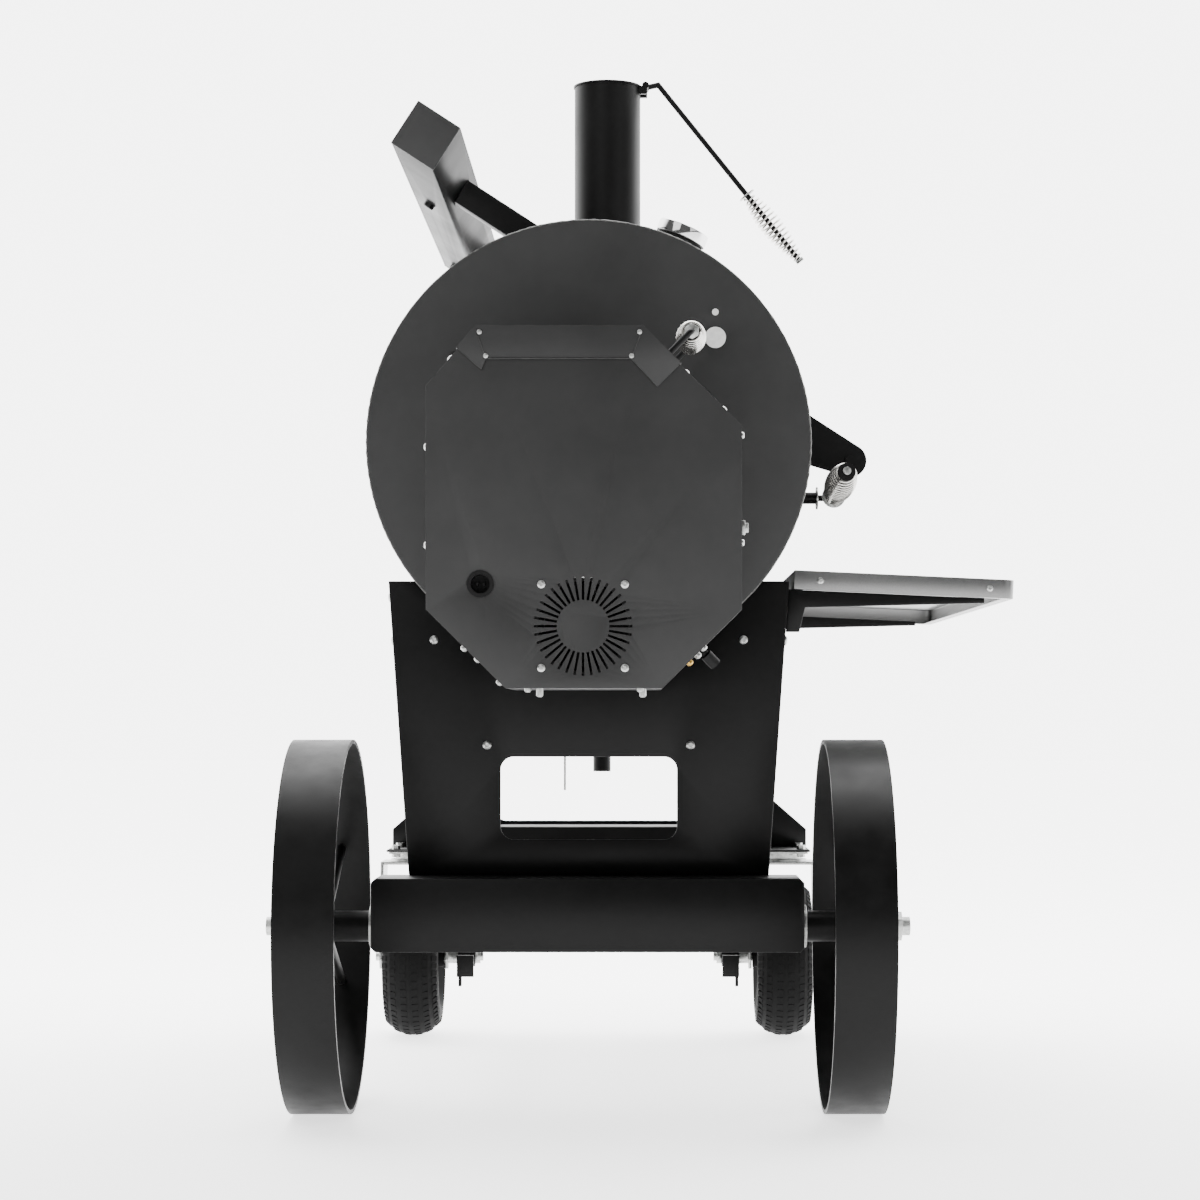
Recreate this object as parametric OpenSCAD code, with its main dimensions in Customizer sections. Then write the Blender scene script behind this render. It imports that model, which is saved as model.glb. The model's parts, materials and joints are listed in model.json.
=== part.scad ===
// Pellet smoker: a horizontal steel barrel on a cart, seen from the hopper end along +Y.
// X runs from the back (-) to the front shelf (+), Y along the barrel, Z up from the floor.

/* [Barrel] */
// Outside radius of the barrel
barrel_r = 305; // [280:1:366]
// Length of the barrel over its end plates
barrel_len = 1120; // [900:1:1500]
// Wall of the barrel, the door and the end plates
barrel_wall = 5; // [3:0.5:8]
// Height of the barrel axis above the floor
axis_z = 916.5; // [900:0.5:980]

/* [Door] */
// Angle of the door's hinge edge, back from straight up
door_back_angle = 30; // [20:1:34]
// Angle of the door's front edge, forward from straight up
door_front_angle = 106; // [102:1:112]
// Distance from the hopper end to the door opening
door_start = 60; // [50:1:90]
// Distance from the door opening to the chimney end
door_end_gap = 148; // [148:1:200]
// Gap between the door and the barrel
door_gap = 3; // [2:0.5:5]
// Height of the hinge axis above the barrel surface
hinge_rise = 13; // [12:0.5:16]
// Radius of the door hinge pins
hinge_pin_r = 5; // [4:0.5:7]
// Side of the square counterweight tube
weight_side = 70; // [50:1:84]
// Side of the two arms that carry the counterweight
arm_side = 38; // [30:1:45]

/* [Hopper and controller housing] */
// Depth of the housing in front of the end plate
housing_depth = 340; // [300:1:400]
// Half of the housing's width
housing_half_w = 198.5; // [180:0.5:210]
// Height of the housing
housing_h = 453; // [440:1:480]
// Wall of the housing and its lid
sheet = 2; // [1.5:0.5:3]
// Gap between the lid and the housing
lid_gap = 0.6; // [0.5:0.1:1.5]
// Side of the square cooling fan
fan_side = 120; // [100:1:125]

/* [Chimney] */
// Outside radius of the chimney
chimney_r = 57.15; // [45:0.05:62]
// Height of the chimney's mouth above the barrel axis
chimney_h = 713.5; // [600:0.5:900]
// Radius of the chimney damper's lever rod
lever_r = 4.75; // [4:0.05:6]

/* [Cart] */
// Outside radius of the two large wheels
wheel_r = 254; // [225:1:305]
// Width of the large wheels
wheel_w = 80; // [60:1:90]
// Radius of the fixed axle
axle_r = 12.7; // [10:0.1:16]
// Length of the axle beam between the wheels
beam_len = 584; // [560:1:640]
// Outside radius of the caster tyres
tyre_r = 132.5; // [110:0.5:132.5]
// Width of the caster tyres
tyre_w = 94; // [70:1:100]
// Trail of the casters, from swivel axis to wheel axle
trail = 55; // [40:1:60]

/* [Shelf] */
// Reach of the front shelf
shelf_depth = 303; // [220:1:360]
// Slope of the shelf, down towards its front edge
shelf_tilt = 2.6; // [0:0.1:4]
// Depth of the shelf's folded edge
shelf_lip = 26; // [20:1:35]

/* [Hidden] */

black = [0.09, 0.09, 0.09];
zinc = [0.72, 0.72, 0.7];
stainless = [0.75, 0.75, 0.76];
rubber_black = [0.05, 0.05, 0.05];
fine = 180;
small = 24;
fit = 0.05;
touch = 0.3;

// Housing outline, counter-clockwise seen from the hopper end
housing_top = axis_z + 111.5;
housing_bottom = housing_top - housing_h;
back_chamfer = [63.5, 73];
front_chamfer = [125, 123];
foot_chamfer = [100, 99];
housing_outline = [
    [housing_half_w - foot_chamfer.x, housing_bottom],
    [housing_half_w, housing_bottom + foot_chamfer.y],
    [housing_half_w, housing_top - front_chamfer.y],
    [housing_half_w - front_chamfer.x, housing_top],
    [back_chamfer.x - housing_half_w, housing_top],
    [-housing_half_w, housing_top - back_chamfer.y],
    [-housing_half_w, housing_bottom + foot_chamfer.y],
    [foot_chamfer.x - housing_half_w, housing_bottom]];
front_slope = unit([front_chamfer.x, -front_chamfer.y]);
front_normal = [-front_slope.y, front_slope.x];
back_slope = unit([-back_chamfer.x, -back_chamfer.y]);
back_normal = [back_slope.y, -back_slope.x];
lid_front_len = 66;
lid_back_len = 36;
lid_skirt = 40;
lid_front_corner = housing_outline[3] + front_slope * lid_front_len;
lid_back_corner = housing_outline[4] + back_slope * lid_back_len;
lid_hinge = lid_back_corner + back_slope * 7 + back_normal * 5;
lid_pin_r = 2.5;
lid_knuckles = [-300, -180, -60];
mouth_x = [-128, 64];
mouth_y = [-housing_depth + 25, -45];

// Feed system
feed_x = -31;
feed_z = axis_z - 161;
feed_bore = 28.5;
feed_tube_r = 31;
feed_end = 415;
motor_front = -housing_depth + sheet + 2;
motor_len = 44;
auger_r = 6;
pot_r = 60;
pot_y = feed_end + pot_r;
duct_top = feed_z - 65.5;
duct_size = [60, min(50, duct_top - floor_at(feed_x - 30) - 4)];
pot_h = 112;
igniter = [feed_x + 38, duct_top + 20];
fan_x = -1;
fan_z = housing_bottom + 78;
fan_front = -housing_depth + sheet + 1;

// Barrel fittings
door_end = barrel_len - door_end_gap;
hinge_r = barrel_r + hinge_rise;
hinge_knuckle_r = hinge_pin_r + 3.5;
hinge_x = -hinge_r * sin(door_back_angle);
hinge_z = axis_z + hinge_r * cos(door_back_angle);
hinge_places = [150, (door_start + door_end) / 2, door_end - 90];
arm_angle = 33;
weight_x = hinge_x - 66.5;
weight_z = hinge_z + 150.1;
weight_y = [20, barrel_len - 20];
arm_places = [350, door_end - 24];
gauge_angle = 23;
gauge_y = 130;
chimney_x = 14;
chimney_y = barrel_len - 75;
chimney_top = axis_z + chimney_h;
cap_z = chimney_top + 3;
damper_pin_x = chimney_x + chimney_r + 9;
damper_pin_z = cap_z;
drain_x = 12;
drain_y = 470;
drain_end = axis_z - barrel_r - 156.5;
port_x = 174;
port_z = axis_z + 143.5;

// Cart
panel_near_y = 10;
panel_far_y = barrel_len - 80;
panel_t = 4;
panel_top_w = barrel_r - 29;
panel_bottom_w = 248;
panel_top_z = axis_z - barrel_r + 114.5;
axle_z = wheel_r;
axle_y = -33;
beam_y = [-80, 20];
beam_z = [axle_z - 32, axle_z + 67];
hub_gap = 5;
hub_r = 21;
hub_x = beam_len / 2 + hub_gap;
hub_len = 113;
wheel_x = hub_x + hub_len / 2 + 6.5;
axle_half = hub_x + hub_len + 28;
plate_z = 2 * tyre_r + 41;
plate_t = 3.4;
deck_t = 4;
deck_z = plate_z + plate_t;
deck_top_z = deck_z + 42.6;
deck_half = 359;
swivel_x = 312;
swivel_y = barrel_len - 145;
race_r = 36;
fork_half = tyre_w / 2 + 6;
fork_t = 5;
fork_top = plate_z - 19;
caster_bolt_r = 8;
caster_axle_r = 7.5;
rail_x = [190, 230];

// Shelf
shelf_back = barrel_r - 22;
shelf_z = panel_top_z + 14.7;
shelf_y = [0, barrel_len + 10];
shelf_corner = 14;
shelf_sheet = 1.5;

// The origin is on the floor, in the middle of the bounding box
x_front = shelf_back + shelf_depth * cos(shelf_tilt);
x_back = -axle_half;
y_front = -housing_depth - sheet - lid_gap;
y_back = shelf_y[1];
origin_x = (x_front + x_back) / 2;
origin_y = (y_front + y_back) / 2;

function unit(v) = v / norm(v);
function left_of(v) = [-v.y, v.x];
function ring_at(angle, r) = [r * sin(angle), axis_z + r * cos(angle)];
function at_y(p, y) = [p.x, y, p.y];
function floor_at(x) = axis_z - sqrt(pow(barrel_r - barrel_wall, 2) - x * x);

// One corner of an outline moved inwards by d, for a counter-clockwise outline
function inset_corner(a, b, c, d) =
    let (n = left_of(unit(b - a)), m = left_of(unit(c - b))) b + d * (n + m) / (1 + n * m);
function inset(points, d) =
    let (n = len(points))
    [for (i = [0:n - 1]) inset_corner(points[(i + n - 1) % n], points[i], points[(i + 1) % n], d)];

module place(tint) {
    color(tint) translate([-origin_x, -origin_y, 0]) children();
}

// Extrudes a flat outline, drawn in X and Z, between two Y values
module slab_y(y0, y1) {
    translate([0, y1, 0]) rotate([90, 0, 0]) linear_extrude(y1 - y0) children();
}

module rod(a, b, r) {
    d = b - a;
    turn = norm([d.x, d.y]) < 0.001 ? 0 : atan2(d.y, d.x);
    translate(a) rotate([0, acos(d.z / norm(d)), turn]) cylinder(h = norm(d), r = r, $fn = small);
}

// A bent rod through a list of points; each length runs a little past its bends, every other one a hair thinner
module bent_rod(points, r) {
    last = len(points) - 2;
    for (i = [0:last]) {
        along = unit(points[i + 1] - points[i]);
        rod(points[i] - along * (i > 0 ? r * 0.6 : 0), points[i + 1] + along * (i < last ? r * 0.6 : 0),
            r - 0.15 * (i % 2));
    }
}

// The outer shape of a coil-spring grip between two points, hollow over its rod
module grip_shape(a, b, end_r, mid_r, hole_r) {
    d = b - a;
    turn = norm([d.x, d.y]) < 0.001 ? 0 : atan2(d.y, d.x);
    len = norm(d);
    translate(a) rotate([0, acos(d.z / len), turn]) difference() {
        rotate_extrude($fn = small) polygon([[0, 0], [end_r, 0], [mid_r, len * 0.25],
            [mid_r, len * 0.6], [end_r, len], [0, len]]);
        translate([0, 0, -1]) cylinder(h = len + 2, r = hole_r, $fn = small);
    }
}

module barrel_disc(y0, y1, r) {
    slab_y(y0, y1) translate([0, axis_z]) circle(r = r, $fn = fine);
}

module barrel_ring(y0, y1, inner, outer) {
    slab_y(y0, y1) translate([0, axis_z]) difference() {
        circle(r = outer, $fn = fine);
        circle(r = inner, $fn = fine);
    }
}

// A wedge of the barrel's cross-section, from one angle to another off straight up
module sector(y0, y1, from, to) {
    steps = 8;
    reach = barrel_r * 1.4;
    slab_y(y0, y1) polygon(concat([[0, axis_z]],
        [for (i = [0:steps]) ring_at(from + (to - from) * i / steps, reach)]));
}

// ---- Barrel ----

module barrel() {
    place(black) difference() {
        barrel_ring(barrel_wall, barrel_len - barrel_wall, barrel_r - barrel_wall, barrel_r);
        sector(door_start, door_end, -door_back_angle, door_front_angle);
        translate([chimney_x, chimney_y, axis_z]) cylinder(h = barrel_r + 10, r = chimney_r - 3, $fn = fine);
        translate([drain_x, drain_y, axis_z - barrel_r - 10]) cylinder(h = 60, r = 10.5, $fn = small);
    }
}

module hopper_end_plate() {
    place(black) difference() {
        barrel_disc(0, barrel_wall, barrel_r);
        rod([feed_x, -1, feed_z], [feed_x, barrel_wall + 1, feed_z], feed_tube_r);
        rod([port_x, -1, port_z], [port_x, barrel_wall + 1, port_z], 11);
        rod(at_y(igniter, -1), at_y(igniter, barrel_wall + 1), 5);
        translate([feed_x - duct_size.x / 2, -1, duct_top - duct_size.y])
            cube([duct_size.x, barrel_wall + 2, duct_size.y]);
    }
}

module chimney_end_plate() {
    place(black) barrel_disc(barrel_len - barrel_wall, barrel_len, barrel_r);
}

// Curved strips inside the opening that the door closes against
module door_stops() {
    inner = barrel_r - barrel_wall;
    place(black) for (side = [0, 1]) difference() {
        union() {
            barrel_ring(side == 0 ? door_start - 15 : door_end, side == 0 ? door_start : door_end + 15,
                inner - 6, inner);
            barrel_ring(side == 0 ? door_start : door_end - 15, side == 0 ? door_start + 15 : door_end,
                inner - 6, inner - touch);
        }
        sector(-1, barrel_len + 1, door_front_angle + 2, 180);
        sector(-1, barrel_len + 1, 180, 358 - door_back_angle);
    }
}

// Places its children at the door hinge: X forward round the barrel, Z outward
module at_hinge(y) {
    translate([hinge_x, y, hinge_z]) rotate([0, -door_back_angle, 0]) children();
}

module along_y(y0, y1, r) {
    translate([0, y0, 0]) rotate([-90, 0, 0]) cylinder(h = y1 - y0, r = r, $fn = small);
}

// A hinge leaf seated on the barrel, between two distances from the hinge axis
module hinge_leaf(y0, y1, from, to) {
    slab_y(y0, y1) difference() {
        translate([hinge_x, hinge_z]) rotate(door_back_angle)
            translate([from, -hinge_rise - 4]) square([to - from, 12]);
        translate([0, axis_z]) circle(r = barrel_r, $fn = fine);
    }
}

module door_hinge_blocks() {
    place(black) for (y = hinge_places) {
        at_hinge(y) along_y(-40, 40, hinge_pin_r);
        for (span = [[-40, -25.5], [25.5, 40]]) {
            at_hinge(y) along_y(span[0], span[1], hinge_knuckle_r);
            hinge_leaf(y + span[0], y + span[1], -42, -2);
        }
    }
}

module door_stock(from, to) {
    difference() {
        barrel_ring(door_start + door_gap, door_end - door_gap, barrel_r - barrel_wall, barrel_r);
        sector(0, barrel_len, to, 180);
        sector(0, barrel_len, 180, 360 + from);
    }
}

module door_skin() {
    edge = door_gap / barrel_r * 180 / PI;
    place(black) difference() {
        door_stock(edge - door_back_angle, door_front_angle - edge);
        gauge_hole();
    }
}

module gauge_hole() {
    translate([0, gauge_y, axis_z]) rotate([0, gauge_angle, 0])
        cylinder(h = barrel_r + 10, r = 6, $fn = small);
}

module door_hinge_leaves() {
    place(black) for (y = hinge_places) difference() {
        union() {
            at_hinge(y) along_y(-25, 25, hinge_knuckle_r);
            hinge_leaf(y - 25, y + 25, 3, 46);
        }
        at_hinge(y) along_y(-50, 50, hinge_pin_r + fit);
    }
}

// Square tube, its end caps, bolts and the two arms that reach down to the door
module counterweight() {
    half = weight_side / 2;
    place(black) difference() {
        union() {
            translate([weight_x, weight_y[0], weight_z]) rotate([0, arm_angle, 0])
                translate([-half, 0, -half]) cube([weight_side, weight_y[1] - weight_y[0], weight_side]);
            for (y = arm_places) translate([weight_x, y - arm_side / 2, weight_z]) rotate([0, arm_angle, 0])
                translate([half, 0, -arm_side / 2]) cube([barrel_r, arm_side, arm_side]);
            for (y = arm_places) translate([weight_x, y + 26, weight_z]) rotate([0, arm_angle + 180, 0])
                cylinder(h = half + 9, r = 9, $fn = 6);
        }
        translate([weight_x, weight_y[0] + 6, weight_z]) rotate([0, arm_angle, 0])
            translate([6 - half, 0, 6 - half])
            cube([weight_side - 12, weight_y[1] - weight_y[0] - 12, weight_side - 12]);
        barrel_disc(weight_y[0], weight_y[1], barrel_r);
        translate([40, weight_y[0], axis_z - barrel_r]) cube([barrel_r, barrel_len, barrel_r * 2 + 40]);
    }
}

handle_z = axis_z - 60.5;
handle_x = barrel_r + 45;
handle_y = [70, 220];
handle_end = [handle_x + 9, handle_y[0], axis_z - 35.5];
lug_y = 232;
lug_nose = [barrel_r + 71, axis_z - 5];

module door_handle() {
    collar = handle_x - 24;
    top_x = sqrt(pow(barrel_r, 2) - pow(52, 2));
    low_x = sqrt(pow(barrel_r, 2) - pow(69, 2));
    elbow = [handle_x, handle_y[1], handle_z];
    place(black) {
        rod([top_x - 0.2, handle_y[1], handle_z], [collar, handle_y[1], handle_z], 8.5);
        slab_y(handle_y[1] - 6, handle_y[1] + 6) polygon([[top_x + 0.15, handle_z + 8.5],
            [low_x + 0.15, handle_z - 8.5], [top_x + 3, handle_z - 7], [top_x + 3, handle_z + 7]]);
        rod([collar, handle_y[1], handle_z], [collar + 2, handle_y[1], handle_z], 16);
        bent_rod([[collar - 2, handle_y[1], handle_z], elbow, handle_end], 4.5);
        rod(handle_end, handle_end - [0, 8, 0], 12.5);
        slab_y(lug_y, lug_y + 6) difference() {
            union() {
                polygon([lug_nose + [0, -24], lug_nose + [15.2, 18.6], ring_at(74, barrel_r - 8),
                    ring_at(91, barrel_r - 8)]);
                translate(lug_nose) circle(r = 24, $fn = fine);
            }
            translate([0, axis_z]) circle(r = barrel_r, $fn = fine);
        }
        rod(at_y(lug_nose, lug_y + 1), at_y(lug_nose, lug_y - 5), 7);
    }
}

module door_grip() {
    run = [handle_x, handle_y[1], handle_z] - handle_end;
    place(stainless) grip_shape(handle_end + run * 0.01, handle_end + run * 0.9, 11, 16, 4.7);
}

module thermometer() {
    place(stainless) translate([0, gauge_y, axis_z]) rotate([0, gauge_angle, 0])
        translate([0, 0, barrel_r]) {
        translate([0, 0, -45]) cylinder(h = 66, r = 5.5, $fn = small);
        cylinder(h = 8, r = 13, $fn = 6);
        translate([0, 0, 21]) difference() {
            cylinder(h = 17, r = 36.5, $fn = fine);
            translate([0, 0, 14]) cylinder(h = 4, r = 31, $fn = fine);
        }
        translate([0, 0, 34]) cylinder(h = 1.6, r = 3, $fn = small);
    }
}

// ---- Chimney and damper ----

module chimney() {
    place(black) difference() {
        union() {
            translate([chimney_x, chimney_y, axis_z + barrel_r - 20])
                cylinder(h = chimney_top - axis_z - barrel_r + 20, r = chimney_r, $fn = fine);
            for (side = [-1, 1]) {
                y = chimney_y + side * 15;
                rod([damper_pin_x, y - 4, damper_pin_z], [damper_pin_x, y + 4, damper_pin_z], 6);
                translate([damper_pin_x - 12, y - 4, chimney_top - 12]) cube([15, 8, 12]);
            }
            rod([damper_pin_x, chimney_y - 18, damper_pin_z], [damper_pin_x, chimney_y + 18, damper_pin_z], 3);
        }
        translate([chimney_x, chimney_y, axis_z]) cylinder(h = chimney_h + 50, r = chimney_r - 3, $fn = fine);
        barrel_disc(chimney_y - 100, barrel_len + 1, barrel_r);
    }
}

lever_knee = [damper_pin_x + 22, damper_pin_z + 4];
lever_end = lever_knee + [244, -303];
lever_wrist = lever_end - unit(lever_end - lever_knee) * 145.5;

module damper_flap() {
    place(black) difference() {
        union() {
            translate([chimney_x, chimney_y, chimney_top + 0.6]) cylinder(h = 3, r = chimney_r + 1.8, $fn = fine);
            translate([damper_pin_x - 22, chimney_y - 10, chimney_top + 0.6]) cube([22, 20, 3]);
            rod([damper_pin_x, chimney_y - 10.5, damper_pin_z], [damper_pin_x, chimney_y + 10.5, damper_pin_z], 6);
            bent_rod([[damper_pin_x + 4, chimney_y, damper_pin_z], at_y(lever_knee, chimney_y),
                at_y(lever_end, chimney_y)], lever_r);
        }
        rod([damper_pin_x, chimney_y - 20, damper_pin_z], [damper_pin_x, chimney_y + 20, damper_pin_z], 3 + fit);
    }
}

module damper_grip() {
    wrist = at_y(lever_wrist, chimney_y);
    tip = at_y(lever_end, chimney_y);
    run = tip - wrist;
    place(stainless) {
        grip_shape(wrist + run * 0.03, tip, 7, 15, lever_r + 0.1);
        difference() {
            rod(wrist + run * 0.01, wrist + run * 0.025, 15);
            rod(wrist, wrist + run * 0.1, lever_r + 0.1);
        }
        rod(tip + run * 0.001, tip + run * 0.04, 8);
    }
}

// ---- Hopper end ----

module fan_grille() {
    for (i = [0:35]) rotate(i * 10) translate([33, -1.6]) square([29, 3.2]);
}

// The housing's half of the lid hinge: its knuckles and the pin through them all
module lid_pin_and_knuckles() {
    foot = lid_hinge - back_normal * 5;
    for (i = [0, 1]) {
        y0 = lid_knuckles[i] + 30 + 0.4;
        y1 = lid_knuckles[i + 1] - 0.4;
        rod(at_y(lid_hinge, y0), at_y(lid_hinge, y1), lid_pin_r + 2);
        slab_y(y0, y1) polygon([foot - back_slope * 3 - back_normal, foot + back_slope * 3 - back_normal,
            lid_hinge + back_slope * 3, lid_hinge - back_slope * 3]);
    }
    rod(at_y(lid_hinge, lid_knuckles[0] - 2), at_y(lid_hinge, lid_knuckles[2] + 32), lid_pin_r);
}

module housing_shell() {
    inner = inset(housing_outline, sheet);
    place(black) lid_pin_and_knuckles();
    place(black) difference() {
        slab_y(-housing_depth, 0) polygon(housing_outline);
        slab_y(-housing_depth + sheet, 1) polygon(inner);
        translate([mouth_x[0], mouth_y[0], housing_top - 10])
            cube([mouth_x[1] - mouth_x[0], mouth_y[1] - mouth_y[0], 20]);
        slab_y(-housing_depth - 1, -housing_depth + sheet + 1) translate([fan_x, fan_z]) fan_grille();
        rod([-130, -housing_depth - 1, fan_z + 53], [-130, -housing_depth + sheet + 1, fan_z + 53], 15);
    }
}

// Pellet bin with a funnel floor and its outlet over the auger
module hopper_bin() {
    floor_z = feed_z + feed_tube_r + 3;
    top = housing_top - sheet;
    outline = [[feed_x - 24, floor_z], [feed_x + 24, floor_z], [mouth_x[1], floor_z + 130],
        [mouth_x[1], top], [mouth_x[0], top], [mouth_x[0], floor_z + 130]];
    place(zinc) difference() {
        slab_y(mouth_y[0], mouth_y[1]) polygon(outline);
        slab_y(mouth_y[0] + sheet, mouth_y[1] - sheet) polygon(inset(outline, sheet));
        translate([mouth_x[0] + sheet, mouth_y[0] + sheet, top - 6])
            cube([mouth_x[1] - mouth_x[0] - 2 * sheet, mouth_y[1] - mouth_y[0] - 2 * sheet, 12]);
        translate([feed_x - 18, mouth_y[0] + 40, floor_z - 1]) cube([36, 120, 12]);
    }
}

// A point on the sloping foot of the housing, a share of the way up it
function foot_at(side, share) = [side * (housing_half_w - foot_chamfer.x * (1 - share)),
    housing_bottom + foot_chamfer.y * share];

// Button-head screws around the housing: place on the outline, outward normal, distance back, head height
module housing_screws() {
    w = housing_half_w;
    low_left = unit([-foot_chamfer.y, -foot_chamfer.x]);
    low_right = unit([foot_chamfer.y, -foot_chamfer.x]);
    heads = [
        [[-w, axis_z - 37], [-1, 0], 18, 3.5], [[-w, axis_z - 161], [-1, 0], 18, 3.5],
        [[w, axis_z - 23], [1, 0], 12, 3.5], [[w, axis_z - 23], [1, 0], 128, 3.5],
        [[w, axis_z - 158], [1, 0], 12, 3.5],
        [housing_outline[4] + back_slope * 50, back_normal, 14, 3.5],
        [foot_at(-1, 0.52), low_left, 20, 5], [foot_at(-1, 0.38), low_left, 60, 4],
        [foot_at(-1, 0.08), low_left, 20, 4], [foot_at(1, 0.52), low_right, 20, 4],
        [foot_at(1, 0.44), low_right, 40, 6], [foot_at(1, 0.34), low_right, 30, 5],
        [[-71, housing_bottom], [0, -1], 20, 5], [[-56, housing_bottom], [0, -1], 20, 11],
        [[71, housing_bottom], [0, -1], 20, 5], [[74, housing_bottom], [0, -1], 80, 11]];
    place(zinc) {
        for (h = heads) {
            p = at_y(h[0], h[2] - housing_depth);
            rod(p, p + at_y(h[1], 0) * h[3], 4.5);
        }
        for (sx = [-1, 1], sz = [-1, 1]) {
            p = [fan_x + sx * 52.5, -housing_depth, fan_z + sz * 52.5];
            rod(p, p - [0, 2.6, 0], 5);
        }
        for (along = [78, 144], back = [16, 180]) {
            p = at_y(housing_outline[3] + front_slope * along, back - housing_depth);
            rod(p, p + at_y(front_normal, 0) * 3, 4);
        }
    }
}

// The controller sits on the sloping front face, below the lid
panel_mid = 110;
panel_y = -housing_depth + 98;

module at_controller() {
    p = housing_outline[3] + front_slope * panel_mid;
    translate(at_y(p, panel_y)) rotate([0, atan2(front_chamfer.y, front_chamfer.x), 0]) children();
}

module controller_panel() {
    place(black) difference() {
        at_controller() union() {
            translate([-28, -70, 0]) cube([56, 140, 3]);
            translate([-16, -60, 3]) cube([32, 62, 1.5]);
            translate([0, 36, 0]) cylinder(h = 9, r = 3, $fn = small);
        }
        at_controller() translate([0, 62, 1]) cylinder(h = 5, r = 6.3, $fn = small);
    }
}

module control_knob() {
    place(rubber_black) at_controller() translate([0, 36, 3.4]) difference() {
        cylinder(h = 10, r = 12, $fn = small);
        translate([0, 0, -1]) cylinder(h = 7, r = 3 + fit, $fn = small);
        translate([-0.8, 5, 9]) cube([1.6, 10, 2]);
    }
}

module power_button() {
    place(rubber_black) at_controller() translate([0, 62, 2.6]) cylinder(h = 3, r = 6, $fn = small);
}

module power_inlet() {
    place(rubber_black) difference() {
        union() {
            rod([-130, -housing_depth - 1.2, fan_z + 53], [-130, -housing_depth, fan_z + 53], 17);
            rod([-130, -housing_depth, fan_z + 53], [-130, -housing_depth + 30, fan_z + 53], 14.8);
        }
        rod([-130, -housing_depth - 2, fan_z + 53], [-130, -housing_depth + 18, fan_z + 53], 12);
    }
    place(zinc) for (x = [-4, 4])
        rod([-130 + x, -housing_depth + 6, fan_z + 53], [-130 + x, -housing_depth + 19, fan_z + 53], 1.5);
}

// Stub aerial on the sloping lower front face
module antenna() {
    foot = (housing_outline[0] + housing_outline[1]) / 2;
    out = unit([1, -1]);
    y = -housing_depth + 60;
    place(rubber_black) {
        rod(at_y(foot, y), at_y(foot + out * 8, y), 5);
        rod(at_y(foot + out * 8, y), at_y(foot + out * 26, y + 6), 8);
    }
}

module side_catch() {
    place(zinc) translate([housing_half_w, -housing_depth + 20, axis_z - 147.5]) {
        cube([5, 14, 18]);
        translate([5, 4, 3]) cube([4, 6, 12]);
    }
}

// Silicone plug in the probe port of the end plate
module probe_plug() {
    place([0.9, 0.9, 0.88]) {
        rod([port_x, -3, port_z], [port_x, 0, port_z], 14.4);
        rod([port_x, 0, port_z], [port_x, barrel_wall + 4, port_z], 11);
    }
    place(zinc) rod([port_x, -2.5, port_z + 35], [port_x, 0, port_z + 35], 4.5);
}

lid_profile = [lid_front_corner + front_normal * lid_gap,
    housing_outline[3] + unit(front_normal + [0, 1]) * lid_gap * 1.08,
    housing_outline[4] + unit(back_normal + [0, 1]) * lid_gap * 1.08,
    lid_back_corner + back_normal * lid_gap];
lid_outer = [lid_front_corner + front_normal * (lid_gap + sheet),
    housing_outline[3] + unit(front_normal + [0, 1]) * (lid_gap + sheet) * 1.08,
    housing_outline[4] + unit(back_normal + [0, 1]) * (lid_gap + sheet) * 1.08,
    lid_back_corner + back_normal * (lid_gap + sheet)];

// Folded sheet over the top, with a skirt in front and its hinge knuckles at the back
module hopper_lid() {
    skirt = [lid_outer[0], lid_outer[1], lid_outer[2], lid_outer[3],
        lid_back_corner - back_normal * lid_skirt, housing_outline[4] + [12, -lid_skirt],
        housing_outline[3] - [14, lid_skirt], lid_front_corner - front_normal * lid_skirt];
    front = -housing_depth - lid_gap - sheet;
    place(black) difference() {
        union() {
            slab_y(front, -8) polygon(concat(lid_outer, [lid_profile[3], lid_profile[2], lid_profile[1],
                lid_profile[0]]));
            slab_y(front, front + sheet) polygon(skirt);
            for (y = lid_knuckles) {
                rod(at_y(lid_hinge, y), at_y(lid_hinge, y + 30), lid_pin_r + 2);
                slab_y(y, y + 30) polygon([lid_profile[3] - back_slope * 3, lid_hinge - back_normal * 2,
                    lid_hinge + back_normal * 2.5, lid_outer[3] - back_slope * 3]);
            }
        }
        for (y = lid_knuckles) rod(at_y(lid_hinge, y - 1), at_y(lid_hinge, y + 31), lid_pin_r + fit);
    }
}

// Bail of bent rod on the lid's front slope, with its coil grip and the hinge pin of the lid
handle_reach = 42;
bail_y = [-housing_depth + 36, -housing_depth + 190];

module lid_handle() {
    foot = housing_outline[3] + front_slope * 44 + front_normal * (lid_gap + sheet);
    top = foot + front_normal * handle_reach;
    place(black) {
        bent_rod([at_y(foot, bail_y[0]), at_y(top, bail_y[0]), at_y(top, bail_y[1]), at_y(foot, bail_y[1])], 4);
        for (y = bail_y) rod(at_y(foot, y), at_y(foot + front_normal * 2, y), 9);
    }
    place(stainless) grip_shape(at_y(top, bail_y[0] + 8), at_y(top, bail_y[1] - 7), 8, 13, 4.1);
}

// ---- Feed and fire ----

module auger_tube() {
    place(zinc) difference() {
        rod([feed_x, motor_front + motor_len, feed_z], [feed_x, feed_end, feed_z], feed_tube_r);
        rod([feed_x, motor_front + motor_len + 3, feed_z], [feed_x, feed_end + 1, feed_z], feed_bore);
        rod([feed_x, motor_front, feed_z], [feed_x, 0, feed_z], auger_r + fit);
        translate([feed_x - 18, mouth_y[0] + 40, feed_z + 10]) cube([36, 120, 40]);
    }
}

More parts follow.
